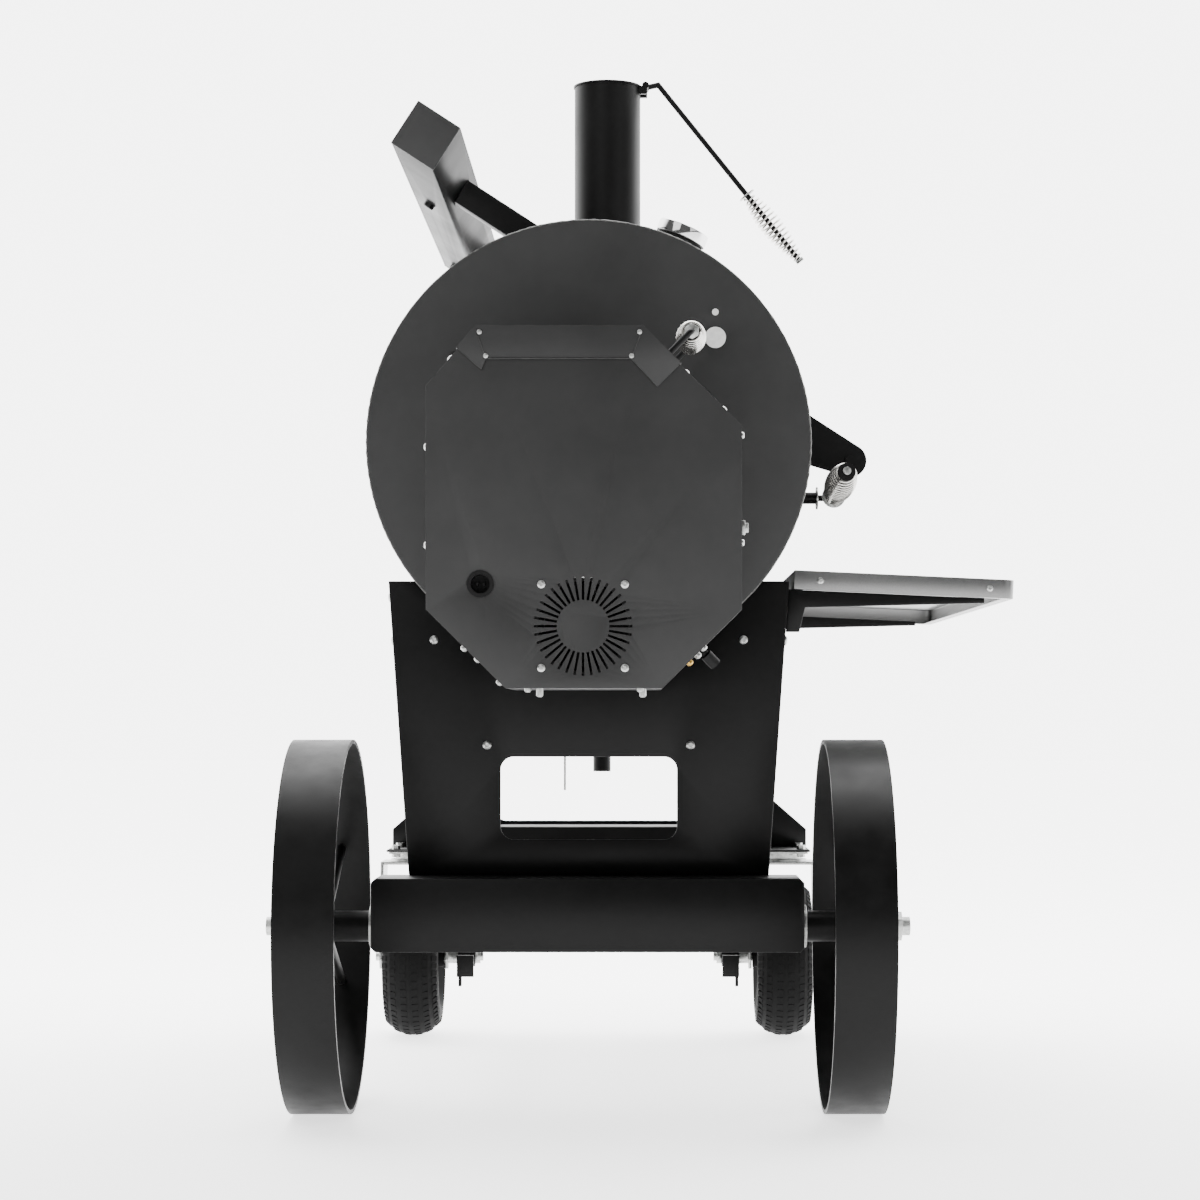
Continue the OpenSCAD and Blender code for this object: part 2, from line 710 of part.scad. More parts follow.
module auger_motor() {
    place(zinc) difference() {
        union() {
            translate([feed_x - 42, motor_front, feed_z - 42]) cube([84, motor_len, 74]);
            rod([feed_x + 41, motor_front + 22, feed_z - 20], [feed_x + 95, motor_front + 22, feed_z - 20], 20);
        }
        rod([feed_x, motor_front + 12, feed_z], [feed_x, motor_front + 60, feed_z], auger_r + fit);
    }
}

module auger_shaft() {
    place(zinc) rod([feed_x, motor_front + 14, feed_z], [feed_x, feed_end - 6, feed_z], auger_r);
}

module auger_flight() {
    start = motor_front + motor_len + 8;
    run = feed_end - 8 - start;
    place(zinc) translate([feed_x, start, feed_z]) rotate([-90, 0, 0])
        linear_extrude(run, twist = 360 * 12, slices = 12 * 12, segments = 4)
        translate([auger_r - 1, -1.5]) square([21.5, 3]);
}

module fan_frame() {
    half = fan_side / 2;
    place(rubber_black) {
        difference() {
            translate([fan_x - half, fan_front, fan_z - half]) cube([fan_side, 25, fan_side]);
            rod([fan_x, fan_front - 1, fan_z], [fan_x, fan_front + 26, fan_z], half - 3);
        }
        for (turn = [45, 135]) translate([fan_x, fan_front + 21, fan_z]) rotate([0, turn, 0])
            translate([-half - 1, 0, -3]) cube([fan_side + 2, 3, 6]);
        rod([fan_x, fan_front + 20, fan_z], [fan_x, fan_front + 25, fan_z], 22);
        rod([fan_x, fan_front + 6, fan_z], [fan_x, fan_front + 22, fan_z], 3);
    }
}

module fan_rotor() {
    place(rubber_black) difference() {
        union() {
            rod([fan_x, fan_front + 2, fan_z], [fan_x, fan_front + 19, fan_z], 20);
            for (i = [0:6]) translate([fan_x, fan_front + 10, fan_z]) rotate([0, i * 360 / 7, 0])
                translate([18, 0, 0]) rotate([35, 0, 0]) translate([0, -1, -12])
                cube([fan_side / 2 - 24, 2, 24]);
        }
        rod([fan_x, fan_front + 5, fan_z], [fan_x, fan_front + 20, fan_z], 3 + fit);
    }
}

module air_duct() {
    place(zinc) difference() {
        translate([feed_x - duct_size.x / 2, -20, duct_top - duct_size.y])
            cube([duct_size.x, pot_y + 70, duct_size.y]);
        translate([feed_x - duct_size.x / 2 + 2, -21, duct_top - duct_size.y + 2])
            cube([duct_size.x - 4, pot_y + 69, duct_size.y - 4]);
        translate([feed_x, pot_y, duct_top - 10]) cylinder(h = 20, r = 14, $fn = small);
    }
}

module fire_pot() {
    place(black) difference() {
        translate([feed_x, pot_y, duct_top]) cylinder(h = pot_h, r = pot_r, $fn = fine);
        translate([feed_x, pot_y, duct_top + 4]) cylinder(h = 120, r = pot_r - 4, $fn = fine);
        translate([feed_x, pot_y, duct_top - 1]) cylinder(h = 12, r = 14, $fn = small);
        rod([feed_x, feed_end - 10, feed_z], [feed_x, pot_y, feed_z], feed_bore);
        translate([feed_x - 100, feed_end - 20, feed_z - feed_tube_r])
            cube([200, 20.01, 2 * feed_tube_r]);
        rod(at_y(igniter, pot_y - 80), at_y(igniter, pot_y), 5);
    }
}

module igniter_rod() {
    place(stainless) rod(at_y(igniter, -30), at_y(igniter, pot_y - 30), 4.8);
}

// Bent plate that spreads the heat over the fire pot, on four feet that stand in the barrel
module heat_diffuser() {
    under = axis_z - 85;
    fall = 35 / 150;
    place(black) {
        slab_y(pot_y - 150, pot_y + 150) polygon([[feed_x - 150, under - 35], [feed_x, under],
            [feed_x + 150, under - 35], [feed_x + 150, under - 32], [feed_x, under + 3],
            [feed_x - 150, under - 32]]);
        for (y = [pot_y - 140, pot_y + 136], side = [-1, 1]) {
            x0 = feed_x + side * 145;
            x1 = feed_x + side * 125;
            slab_y(y, y + 4) polygon([[x0, under - 145 * fall - 0.05], [x0, floor_at(x0)],
                [x1, floor_at(x1)], [x1, under - 125 * fall - 0.05]]);
        }
    }
}

module drip_tray() {
    w = barrel_r - 90;
    place(black) difference() {
        slab_y(40, barrel_len - 60) polygon([[-w, axis_z - 40], [-w, axis_z - 62], [0, axis_z - 72],
            [w, axis_z - 62], [w, axis_z - 40]]);
        slab_y(43, barrel_len - 63) polygon([[-w + 3, axis_z - 30], [-w + 3, axis_z - 59],
            [0, axis_z - 69], [w - 3, axis_z - 59], [w - 3, axis_z - 30]]);
    }
}

module bar_grid(x0, x1, y0, y1, z, pitch) {
    for (x = [x0:pitch:x1]) translate([x - 2.5, y0, z]) cube([5, y1 - y0, 6]);
    for (y = [y0, (y0 + y1) / 2, y1 - 8]) translate([x0 - 2.5, y, z - 5]) cube([x1 - x0 + 5, 8, 6]);
}

module cooking_grate() {
    place(stainless) bar_grid(35 - barrel_r, barrel_r - 35, 30, barrel_len - 30, axis_z - 8, 27);
}

rack_half = sqrt(pow(barrel_r - barrel_wall, 2) - pow(180, 2)) - 30;

module upper_rack() {
    place(stainless) bar_grid(-rack_half, 30, 30, barrel_len - 30, axis_z + 172, 24);
}

// Angle brackets inside the barrel that carry the tray, the grate and the rack
module rack_brackets() {
    inner = barrel_r - barrel_wall;
    place(black) {
        for (side = [-1, 1], lift = [-13.1, -62.8]) slab_y(door_start + 16, door_end - 16) difference() {
            x0 = barrel_r - (lift < -40 ? 105 : 43);
            polygon([[side * x0, axis_z + lift], [side * (barrel_r - 6), axis_z + lift],
                [side * (barrel_r - 6), axis_z + lift - 4], [side * x0, axis_z + lift - 4]]);
            difference() {
                translate([-400, axis_z - 200]) square([800, 400]);
                translate([0, axis_z]) circle(r = inner, $fn = fine);
            }
        }
        for (y = [barrel_wall, barrel_len - barrel_wall - 30])
            translate([-rack_half - 2, y, axis_z + 163]) cube([rack_half + 34, 30, 4]);
    }
}

module drain_spout() {
    place(black) difference() {
        union() {
            rod([drain_x, drain_y, axis_z - barrel_r + 2], [drain_x, drain_y, drain_end], 13.35);
            rod([drain_x, drain_y, axis_z - barrel_r + 2], [drain_x, drain_y, drain_end + 150], 17);
        }
        rod([drain_x, drain_y, axis_z - barrel_r + 10], [drain_x, drain_y, drain_end - 5], 10.5);
        barrel_disc(drain_y - 40, drain_y + 40, barrel_r);
    }
}

// Bent wire that holds a grease bucket by its bail, welded under the barrel
module bucket_hook() {
    x = -45;
    root_z = axis_z - sqrt(pow(barrel_r, 2) - pow(x, 2)) + 0.2;
    place(zinc) {
        rod([x, drain_y, root_z], [x, drain_y, root_z - 189], 1.8);
        rod([x, drain_y - 1, root_z - 187], [x, drain_y + 20, root_z - 187], 1.5);
        rod([x, drain_y + 19, root_z - 188], [x, drain_y + 19, root_z - 176], 1.2);
    }
}

// ---- Cart ----

module leg_outline(bottom_z, ear) {
    difference() {
        union() {
            polygon([[-panel_bottom_w, bottom_z], [panel_bottom_w, bottom_z],
                [panel_top_w, panel_top_z], [-panel_top_w, panel_top_z]]);
            if (ear) for (side = [-1, 1]) polygon([[side * 200, bottom_z], [side * deck_half, bottom_z],
                [side * deck_half, bottom_z + 30], [side * 303, bottom_z + 79], [side * 200, bottom_z + 79]]);
        }
        translate([0, axis_z]) circle(r = barrel_r, $fn = fine);
    }
}

module window(half_w, z0, z1, corner) {
    for (side = [-1, 1], z = [z0 + corner, z1 - corner])
        translate([side * (half_w - corner), z]) circle(r = corner, $fn = small);
    translate([-half_w + corner, z0]) square([2 * (half_w - corner), z1 - z0]);
    translate([-half_w, z0 + corner]) square([2 * half_w, z1 - z0 - 2 * corner]);
}

module side_flange(side, y0, y1, bottom_z) {
    slab_y(y0, y1) polygon([[side * panel_bottom_w, bottom_z], [side * (panel_bottom_w - panel_t), bottom_z],
        [side * (panel_top_w - panel_t), panel_top_z], [side * panel_top_w, panel_top_z]]);
}

module leg_panel(y, bottom_z, ear, flange_y, half_w, z0, z1) {
    difference() {
        union() {
            slab_y(y, y + panel_t) leg_outline(bottom_z, ear);
            for (side = [-1, 1]) side_flange(side, flange_y[0], flange_y[1], ear ? bottom_z + 45 : bottom_z);
        }
        slab_y(y - 1, y + panel_t + 1) window(half_w, z0, z1, 18);
        barrel_disc(-1, barrel_len + 1, barrel_r);
    }
}

module near_leg_panel() {
    place(black) leg_panel(panel_near_y, beam_z[1], false, [panel_near_y, panel_near_y + 60], 121.5,
        beam_z[1] + 49, beam_z[1] + 163);
}

module far_leg_panel() {
    place(black) leg_panel(panel_far_y, deck_z + deck_t, true, [panel_far_y - 56, panel_far_y + panel_t],
        180, deck_top_z + 6, deck_top_z + 132);
}

module axle_beam() {
    half = beam_len / 2;
    wall = 4;
    place(black) difference() {
        translate([-half, beam_y[0], beam_z[0]]) cube([beam_len, beam_y[1] - beam_y[0], beam_z[1] - beam_z[0]]);
        translate([-half + wall, beam_y[0] + wall, beam_z[0] + wall])
            cube([beam_len - 2 * wall, beam_y[1] - beam_y[0] - 2 * wall, beam_z[1] - beam_z[0] - 2 * wall]);
        rod([-half - 1, axle_y, axle_z], [half + 1, axle_y, axle_z], axle_r);
        for (side = [-1, 1], z = [beam_z[0], beam_z[1]])
            translate([side * half, -100, z]) rotate([0, 45, 0]) translate([-4, 0, -4]) cube([8, 150, 8]);
    }
}

// Fixed axle with its inner spacers, outer washers and nuts
module axle() {
    place(zinc) {
        rod([-axle_half, axle_y, axle_z], [axle_half, axle_y, axle_z], axle_r);
        for (side = [-1, 1]) {
            rod([side * beam_len / 2, axle_y, axle_z], [side * (hub_x - touch), axle_y, axle_z], 29);
            rod([side * (hub_x + hub_len + touch), axle_y, axle_z],
                [side * (hub_x + hub_len + 4), axle_y, axle_z], 24);
            translate([side * (hub_x + hub_len + 10), axle_y, axle_z]) rotate([0, 90, 0])
                cylinder(h = 14, r = 20, center = true, $fn = 6);
        }
    }
}

module wheel(side) {
    spokes = 8;
    place(black) translate([0, axle_y, axle_z]) rotate([0, 90, 0]) difference() {
        union() {
            translate([0, 0, side * wheel_x - wheel_w / 2]) difference() {
                cylinder(h = wheel_w, r = wheel_r, $fn = fine);
                translate([0, 0, -1]) cylinder(h = wheel_w + 2, r = wheel_r - 6, $fn = fine);
            }
            translate([0, 0, side * (hub_x + hub_len / 2) - hub_len / 2])
                cylinder(h = hub_len, r = hub_r, $fn = small);
            for (i = [0:spokes - 1]) translate([0, 0, side * wheel_x]) rotate([0, 0, (i + 0.5) * 360 / spokes])
                rotate([0, 90, 0]) translate([0, 0, hub_r - 3])
                cylinder(h = wheel_r - 3 - hub_r + 1, r = 6.5, $fn = small);
        }
        translate([0, 0, side * (hub_x + hub_len / 2) - hub_len])
            cylinder(h = 2 * hub_len, r = axle_r + fit, $fn = small);
    }
}

module left_wheel() { wheel(-1); }
module right_wheel() { wheel(1); }

module side_rails() {
    wall = 3;
    size = [40, panel_far_y - 126 - beam_y[1], deck_top_z - deck_z - deck_t];
    place(black) for (side = [-1, 1])
        translate([side * (rail_x[0] + rail_x[1]) / 2 - size.x / 2, beam_y[1], deck_z + deck_t]) difference() {
            cube(size);
            translate([wall, wall, wall]) cube(size - 2 * [wall, wall, wall]);
        }
}

// Cross beam and plate that carry the casters
module caster_deck() {
    half = beam_len / 2;
    place(black) difference() {
        union() {
            translate([-deck_half, panel_far_y - 130, deck_z]) cube([2 * deck_half, 130 + panel_t, deck_t]);
            translate([-half, panel_far_y - 126, deck_z + deck_t - 1])
                cube([2 * half, 120, deck_top_z - deck_z - deck_t + 1]);
        }
        translate([deck_t - half, panel_far_y - 122, deck_z + deck_t])
            cube([2 * (half - deck_t), 112, deck_top_z - deck_z - 2 * deck_t]);
    }
}

// Zinc top plates, swivel races and bolts
module caster_plates() {
    place(zinc) for (side = [-1, 1]) translate([side * swivel_x, swivel_y, plate_z]) {
        translate([-43, -55, 0]) cube([86, 110, plate_t]);
        translate([0, 0, -10]) cylinder(h = 10, r = race_r, $fn = fine);
        translate([0, 0, -17]) cylinder(h = 10, r = caster_bolt_r, $fn = small);
        for (sx = [-1, 1], sy = [-1, 1]) translate([sx * 32, sy * 44, -6]) cylinder(h = 6, r = 7.5, $fn = 6);
        for (sy = [-1, 1]) translate([side * 32, sy * 44, plate_t + deck_t]) cylinder(h = 7, r = 7.5, $fn = 6);
    }
}

module fork(side) {
    axle_down = tyre_r;
    wheel_y = swivel_y - trail;
    x = side * swivel_x;
    place(zinc) difference() {
        union() {
            translate([x, swivel_y, fork_top]) cylinder(h = 8.7, r = race_r + 8, $fn = fine);
            translate([x - fork_half - fork_t, swivel_y - 45, fork_top])
                cube([2 * (fork_half + fork_t), 85, 5]);
            for (leg = [-1, 1]) translate([x + leg * (fork_half + fork_t / 2) - fork_t / 2, 0, 0])
                rotate([90, 0, 90]) linear_extrude(fork_t) polygon([[swivel_y + 40, fork_top + 5],
                    [swivel_y - 45, fork_top + 5], [wheel_y - 24, axle_down - 4], [wheel_y - 12, axle_down - 20],
                    [wheel_y + 12, axle_down - 20], [wheel_y + 24, axle_down]]);
            rod([x + side * (fork_half + 12), wheel_y, axle_down],
                [x - side * (fork_half + fork_t + brake_in + brake_w + 14), wheel_y, axle_down], caster_axle_r);
            rod([x - side * (fork_half + fork_t), wheel_y, axle_down],
                [x - side * (fork_half + fork_t + brake_in - touch), wheel_y, axle_down], 12);
            rod([x - side * (fork_half + fork_t + brake_in + brake_w + touch), wheel_y, axle_down],
                [x - side * (fork_half + fork_t + brake_in + brake_w + 9), wheel_y, axle_down], 12);
        }
        translate([x, swivel_y, fork_top - 1]) cylinder(h = 20, r = caster_bolt_r + fit, $fn = small);
    }
}

module left_fork() { fork(-1); }
module right_fork() { fork(1); }

// Pneumatic tyre on its rim, as one body of turned shapes
module caster_wheel(side) {
    half = tyre_w / 2;
    place(rubber_black) translate([side * swivel_x, swivel_y - trail, tyre_r]) rotate([0, 90, 0]) difference() {
        rotate_extrude($fn = fine) polygon(concat(
            [[0, -half - 4], [18, -half - 4], [18, -22], [tyre_r - 62, -22], [tyre_r - 60, 14 - half]],
            [for (i = [0:14]) let (turn = i * 14 - 98) [tyre_r - 38 + 38 * cos(turn), half * sin(turn)]],
            [[tyre_r - 60, half - 14], [tyre_r - 62, 22], [18, 22], [18, half + 4], [0, half + 4]]));
        cylinder(h = 2 * tyre_w, r = caster_axle_r + fit, center = true, $fn = small);
    }
}

module left_caster_wheel() { caster_wheel(-1); }
module right_caster_wheel() { caster_wheel(1); }

// Brake pedal on the inner end of each caster axle, with a tab that hangs below it
brake_in = 17;
brake_w = 28;
module brake(side) {
    x = side * (swivel_x - fork_half - fork_t - brake_in);
    low = min(x, x - side * brake_w);
    y = swivel_y - trail;
    place(rubber_black) difference() {
        union() {
            rod([x, y, tyre_r], [x - side * brake_w, y, tyre_r], 17);
            translate([low + 8, y - 50, tyre_r - 16]) cube([brake_w - 16, 42, 14]);
            translate([low, y - 52, tyre_r - 30.5]) cube([brake_w, 12, 36]);
            translate([min(x, x - side * 5), y - 8, tyre_r - 50.5]) cube([5, 16, 40]);
        }
        rod([x + side, y, tyre_r], [x - side * (brake_w + 1), y, tyre_r], caster_axle_r + fit);
    }
}

module left_brake() { brake(-1); }
module right_brake() { brake(1); }

// ---- Shelf ----

module at_shelf() {
    translate([shelf_back, 0, shelf_z]) rotate([0, shelf_tilt, 0]) children();
}

module rounded_plan(x1, y0, y1, corner) {
    translate([0, y0]) square([x1 - corner, y1 - y0]);
    translate([0, y0 + corner]) square([x1, y1 - y0 - 2 * corner]);
    for (y = [y0 + corner, y1 - corner]) translate([x1 - corner, y]) circle(r = corner, $fn = small);
}

module shelf_tray() {
    t = shelf_sheet;
    place(stainless) difference() {
        at_shelf() translate([0, 0, -shelf_lip]) linear_extrude(shelf_lip)
            rounded_plan(shelf_depth, shelf_y[0], shelf_y[1], shelf_corner);
        at_shelf() translate([t, 0, -shelf_lip + t]) linear_extrude(shelf_lip - 2 * t)
            rounded_plan(shelf_depth - 2 * t, shelf_y[0] + t, shelf_y[1] - t, shelf_corner - t);
        at_shelf() translate([14, 0, -shelf_lip - 1]) linear_extrude(3)
            rounded_plan(shelf_depth - 28, shelf_y[0] + 14, shelf_y[1] - 14, 4);
    }
}

module shelf_brackets() {
    back = panel_top_w + 0.5;
    low = panel_top_z - 70;
    place(black) for (y = [panel_near_y + 10, panel_far_y - 30]) difference() {
        slab_y(y, y + 4) polygon([[back, panel_top_z], [back - 4.6, low], [back + 14, low],
            [back + 22, panel_top_z - 36], [shelf_back + shelf_depth - 40, panel_top_z - 30],
            [shelf_back + shelf_depth - 40, panel_top_z + 30], [back, panel_top_z + 30]]);
        at_shelf() translate([-60, -10, -shelf_lip]) cube([shelf_depth + 120, barrel_len + 60, 200]);
    }
}

// Hexagon and button heads on the leg panels, the shelf and its brackets
module frame_bolts() {
    place(zinc) {
        for (side = [-1, 1], p = [[barrel_r - 92, axis_z - barrel_r + 33.5], [140, beam_z[1] + 179]])
            rod([side * p.x, panel_near_y, p.y], [side * p.x, panel_near_y - 5, p.y], 6);
        for (side = [-1, 1], z = [panel_top_z - 21, panel_top_z - 81], y = [panel_near_y + 40, panel_far_y - 40]) {
            foot = y < panel_far_y - 60 ? beam_z[1] : deck_z + deck_t + 45;
            lean = unit([panel_top_w - panel_bottom_w, panel_top_z - foot]);
            p = [side * (panel_top_w - lean.x / lean.y * (panel_top_z - z)), y, z];
            if (side < 0 || z < panel_top_z - 75) rod(p, p + [side * lean.y, 0, -lean.x] * 5, 7);
        }
        at_shelf() for (x = [36, shelf_depth - 34])
            rod([x, shelf_y[0], -shelf_lip / 2], [x, shelf_y[0] - 2.5, -shelf_lip / 2], 4.5);
    }
}

barrel();
hopper_end_plate();
chimney_end_plate();
door_stops();
door_hinge_blocks();
housing_shell();
hopper_bin();
housing_screws();
controller_panel();
power_inlet();
antenna();
side_catch();
probe_plug();
auger_tube();
auger_motor();
fan_frame();
air_duct();
fire_pot();
igniter_rod();
heat_diffuser();
drip_tray();
cooking_grate();
upper_rack();
rack_brackets();
drain_spout();
bucket_hook();
chimney();
near_leg_panel();
far_leg_panel();
axle_beam();
axle();
side_rails();
caster_deck();
caster_plates();
shelf_tray();
shelf_brackets();
frame_bolts();
auger_shaft();
auger_flight();
fan_rotor();
control_knob();
power_button();
door_skin();
door_hinge_leaves();
counterweight();
door_handle();
door_grip();
thermometer();
hopper_lid();
lid_handle();
damper_flap();
damper_grip();
left_wheel();
right_wheel();
left_fork();
right_fork();
left_caster_wheel();
right_caster_wheel();
left_brake();
right_brake();
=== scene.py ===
import bpy
import bmesh
import json
import math
import random
from mathutils import Matrix, Vector


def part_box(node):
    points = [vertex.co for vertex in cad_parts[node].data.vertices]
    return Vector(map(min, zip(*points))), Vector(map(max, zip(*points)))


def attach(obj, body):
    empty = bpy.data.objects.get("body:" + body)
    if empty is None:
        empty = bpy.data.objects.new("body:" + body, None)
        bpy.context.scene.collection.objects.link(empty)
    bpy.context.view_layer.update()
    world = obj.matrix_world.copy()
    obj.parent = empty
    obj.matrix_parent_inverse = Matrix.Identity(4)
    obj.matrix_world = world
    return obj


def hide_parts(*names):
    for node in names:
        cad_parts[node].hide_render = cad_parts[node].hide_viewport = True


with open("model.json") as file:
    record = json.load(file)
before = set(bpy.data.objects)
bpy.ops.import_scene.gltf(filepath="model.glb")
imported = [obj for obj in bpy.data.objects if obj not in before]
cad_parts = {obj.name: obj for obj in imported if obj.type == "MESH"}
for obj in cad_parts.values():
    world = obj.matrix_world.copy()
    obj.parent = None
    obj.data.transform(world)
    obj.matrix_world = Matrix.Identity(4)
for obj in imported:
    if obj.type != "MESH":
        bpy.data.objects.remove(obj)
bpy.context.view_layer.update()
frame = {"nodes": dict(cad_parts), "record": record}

random.seed(11)
nodes = frame["nodes"]
mm = 0.001


def linear(hexColour):
    # sRGB hex to linear RGBA
    values = [int(hexColour[i:i + 2], 16) / 255 for i in (1, 3, 5)]
    return [v / 12.92 if v <= 0.04045 else ((v + 0.055) / 1.055) ** 2.4 for v in values] + [1.0]


def addNode(tree, kind, settings=None, links=None):
    # one node, its settings (names or sockets) and what feeds its sockets
    node = tree.nodes.new(kind)
    for key, value in (settings or {}).items():
        if isinstance(key, str) and hasattr(node, key) and key not in node.inputs:
            setattr(node, key, value)
        else:
            node.inputs[key].default_value = value
    for key, source in (links or {}).items():
        tree.links.new(source, node.inputs[key])
    return node


def startMaterial(name, base, rough, metal=0.0):
    material = bpy.data.materials.new(name)
    material.use_nodes = True
    material.diffuse_color = linear(base)
    tree = material.node_tree
    shader = tree.nodes["Principled BSDF"]
    shader.inputs["Base Color"].default_value = linear(base)
    shader.inputs["Roughness"].default_value = rough
    shader.inputs["Metallic"].default_value = metal
    coords = addNode(tree, "ShaderNodeTexCoord")
    return material, tree, shader, coords.outputs["Object"]


def ramp(tree, source, stops):
    node = addNode(tree, "ShaderNodeValToRGB", links={"Fac": source})
    while len(node.color_ramp.elements) < len(stops):
        node.color_ramp.elements.new(0.5)
    for element, (place, colour) in zip(node.color_ramp.elements, stops):
        element.position = place
        element.color = colour if not isinstance(colour, str) else linear(colour)
    return node.outputs["Color"]


def grey(v):
    return (v, v, v, 1.0)


# Rubbed and lit corners: where the rounded normal leaves the flat one, broken up by a noise, the coat turns
# lighter, partly as rubbed-through paint and partly as a painted edge highlight
def wornAndHighlitEdges(tree, coords, coat, look):
    rounded = addNode(tree, "ShaderNodeBevel", {"samples": 4, "Radius": 1.2 * mm})
    flat = addNode(tree, "ShaderNodeNewGeometry")
    facing = addNode(tree, "ShaderNodeVectorMath", {"operation": "DOT_PRODUCT"},
                     {0: rounded.outputs["Normal"], 1: flat.outputs["Normal"]})
    edge = ramp(tree, facing.outputs["Value"], [(0.93, grey(1.0)), (0.995, grey(0.0))])
    patches = addNode(tree, "ShaderNodeTexNoise", {"Scale": 1 / (14 * mm), "Detail": 4.0}, {"Vector": coords})
    broken = ramp(tree, patches.outputs["Fac"], [(0.45, grey(0.0)), (0.62, grey(look["edgeWearAndHighlight"]))])
    share = addNode(tree, "ShaderNodeMath", {"operation": "MULTIPLY"}, {0: edge, 1: broken})
    mixed = addNode(tree, "ShaderNodeMix", {"data_type": "RGBA", "B": linear(look["bareAndHighlitEdge"])},
                    {"Factor": share.outputs["Value"], "A": coat})
    return mixed.outputs["Result"]


# Powder and spray coats: two noises, one for cloudiness and one for the paint's own grain
def paintedSteel(name, look):
    material, tree, shader, coords = startMaterial(name, look["colour"], look["rough"])
    shader.inputs["Specular IOR Level"].default_value = look.get("gloss", 0.3)
    cloud = addNode(tree, "ShaderNodeTexNoise",
                    {"Scale": 1 / (look["cloudMm"] * mm), "Detail": 5.0, "Roughness": 0.6}, {"Vector": coords})
    grain = addNode(tree, "ShaderNodeTexNoise",
                    {"Scale": 1 / (look["grainMm"] * mm), "Detail": 2.0}, {"Vector": coords})
    coat = ramp(tree, cloud.outputs["Fac"], [(0.3, look["dark"]), (0.7, look["light"])])
    # lighter edges: rubbed paint and painted edge highlight
    if look.get("edgeWearAndHighlight"):
        coat = wornAndHighlitEdges(tree, coords, coat, look)
    tree.links.new(coat, shader.inputs["Base Color"])
    low, high = look["roughSpan"]
    tree.links.new(ramp(tree, cloud.outputs["Fac"], [(0.25, grey(low)), (0.75, grey(high))]),
                   shader.inputs["Roughness"])
    bump = addNode(tree, "ShaderNodeBump", {"Strength": look["bump"], "Distance": look["grainMm"] * 0.08 * mm},
                   {"Height": grain.outputs["Fac"]})
    tree.links.new(bump.outputs["Normal"], shader.inputs["Normal"])
    return material


# Metal finishes: fine stretched noise for the brushing, or round spangle for zinc
def bareMetal(name, look):
    material, tree, shader, coords = startMaterial(name, look["colour"], look["rough"], 1.0)
    stretch = addNode(tree, "ShaderNodeMapping", {"Scale": look["stretch"]}, {"Vector": coords})
    lines = addNode(tree, "ShaderNodeTexNoise", {"Scale": 1 / (look["lineMm"] * mm), "Detail": 3.0},
                    {"Vector": stretch.outputs["Vector"]})
    tree.links.new(ramp(tree, lines.outputs["Fac"], [(0.25, look["dark"]), (0.75, look["light"])]),
                   shader.inputs["Base Color"])
    low, high = look["roughSpan"]
    tree.links.new(ramp(tree, lines.outputs["Fac"], [(0.3, grey(low)), (0.7, grey(high))]),
                   shader.inputs["Roughness"])
    bump = addNode(tree, "ShaderNodeBump", {"Strength": look["bump"], "Distance": 0.05 * mm},
                   {"Height": lines.outputs["Fac"]})
    tree.links.new(bump.outputs["Normal"], shader.inputs["Normal"])
    return material


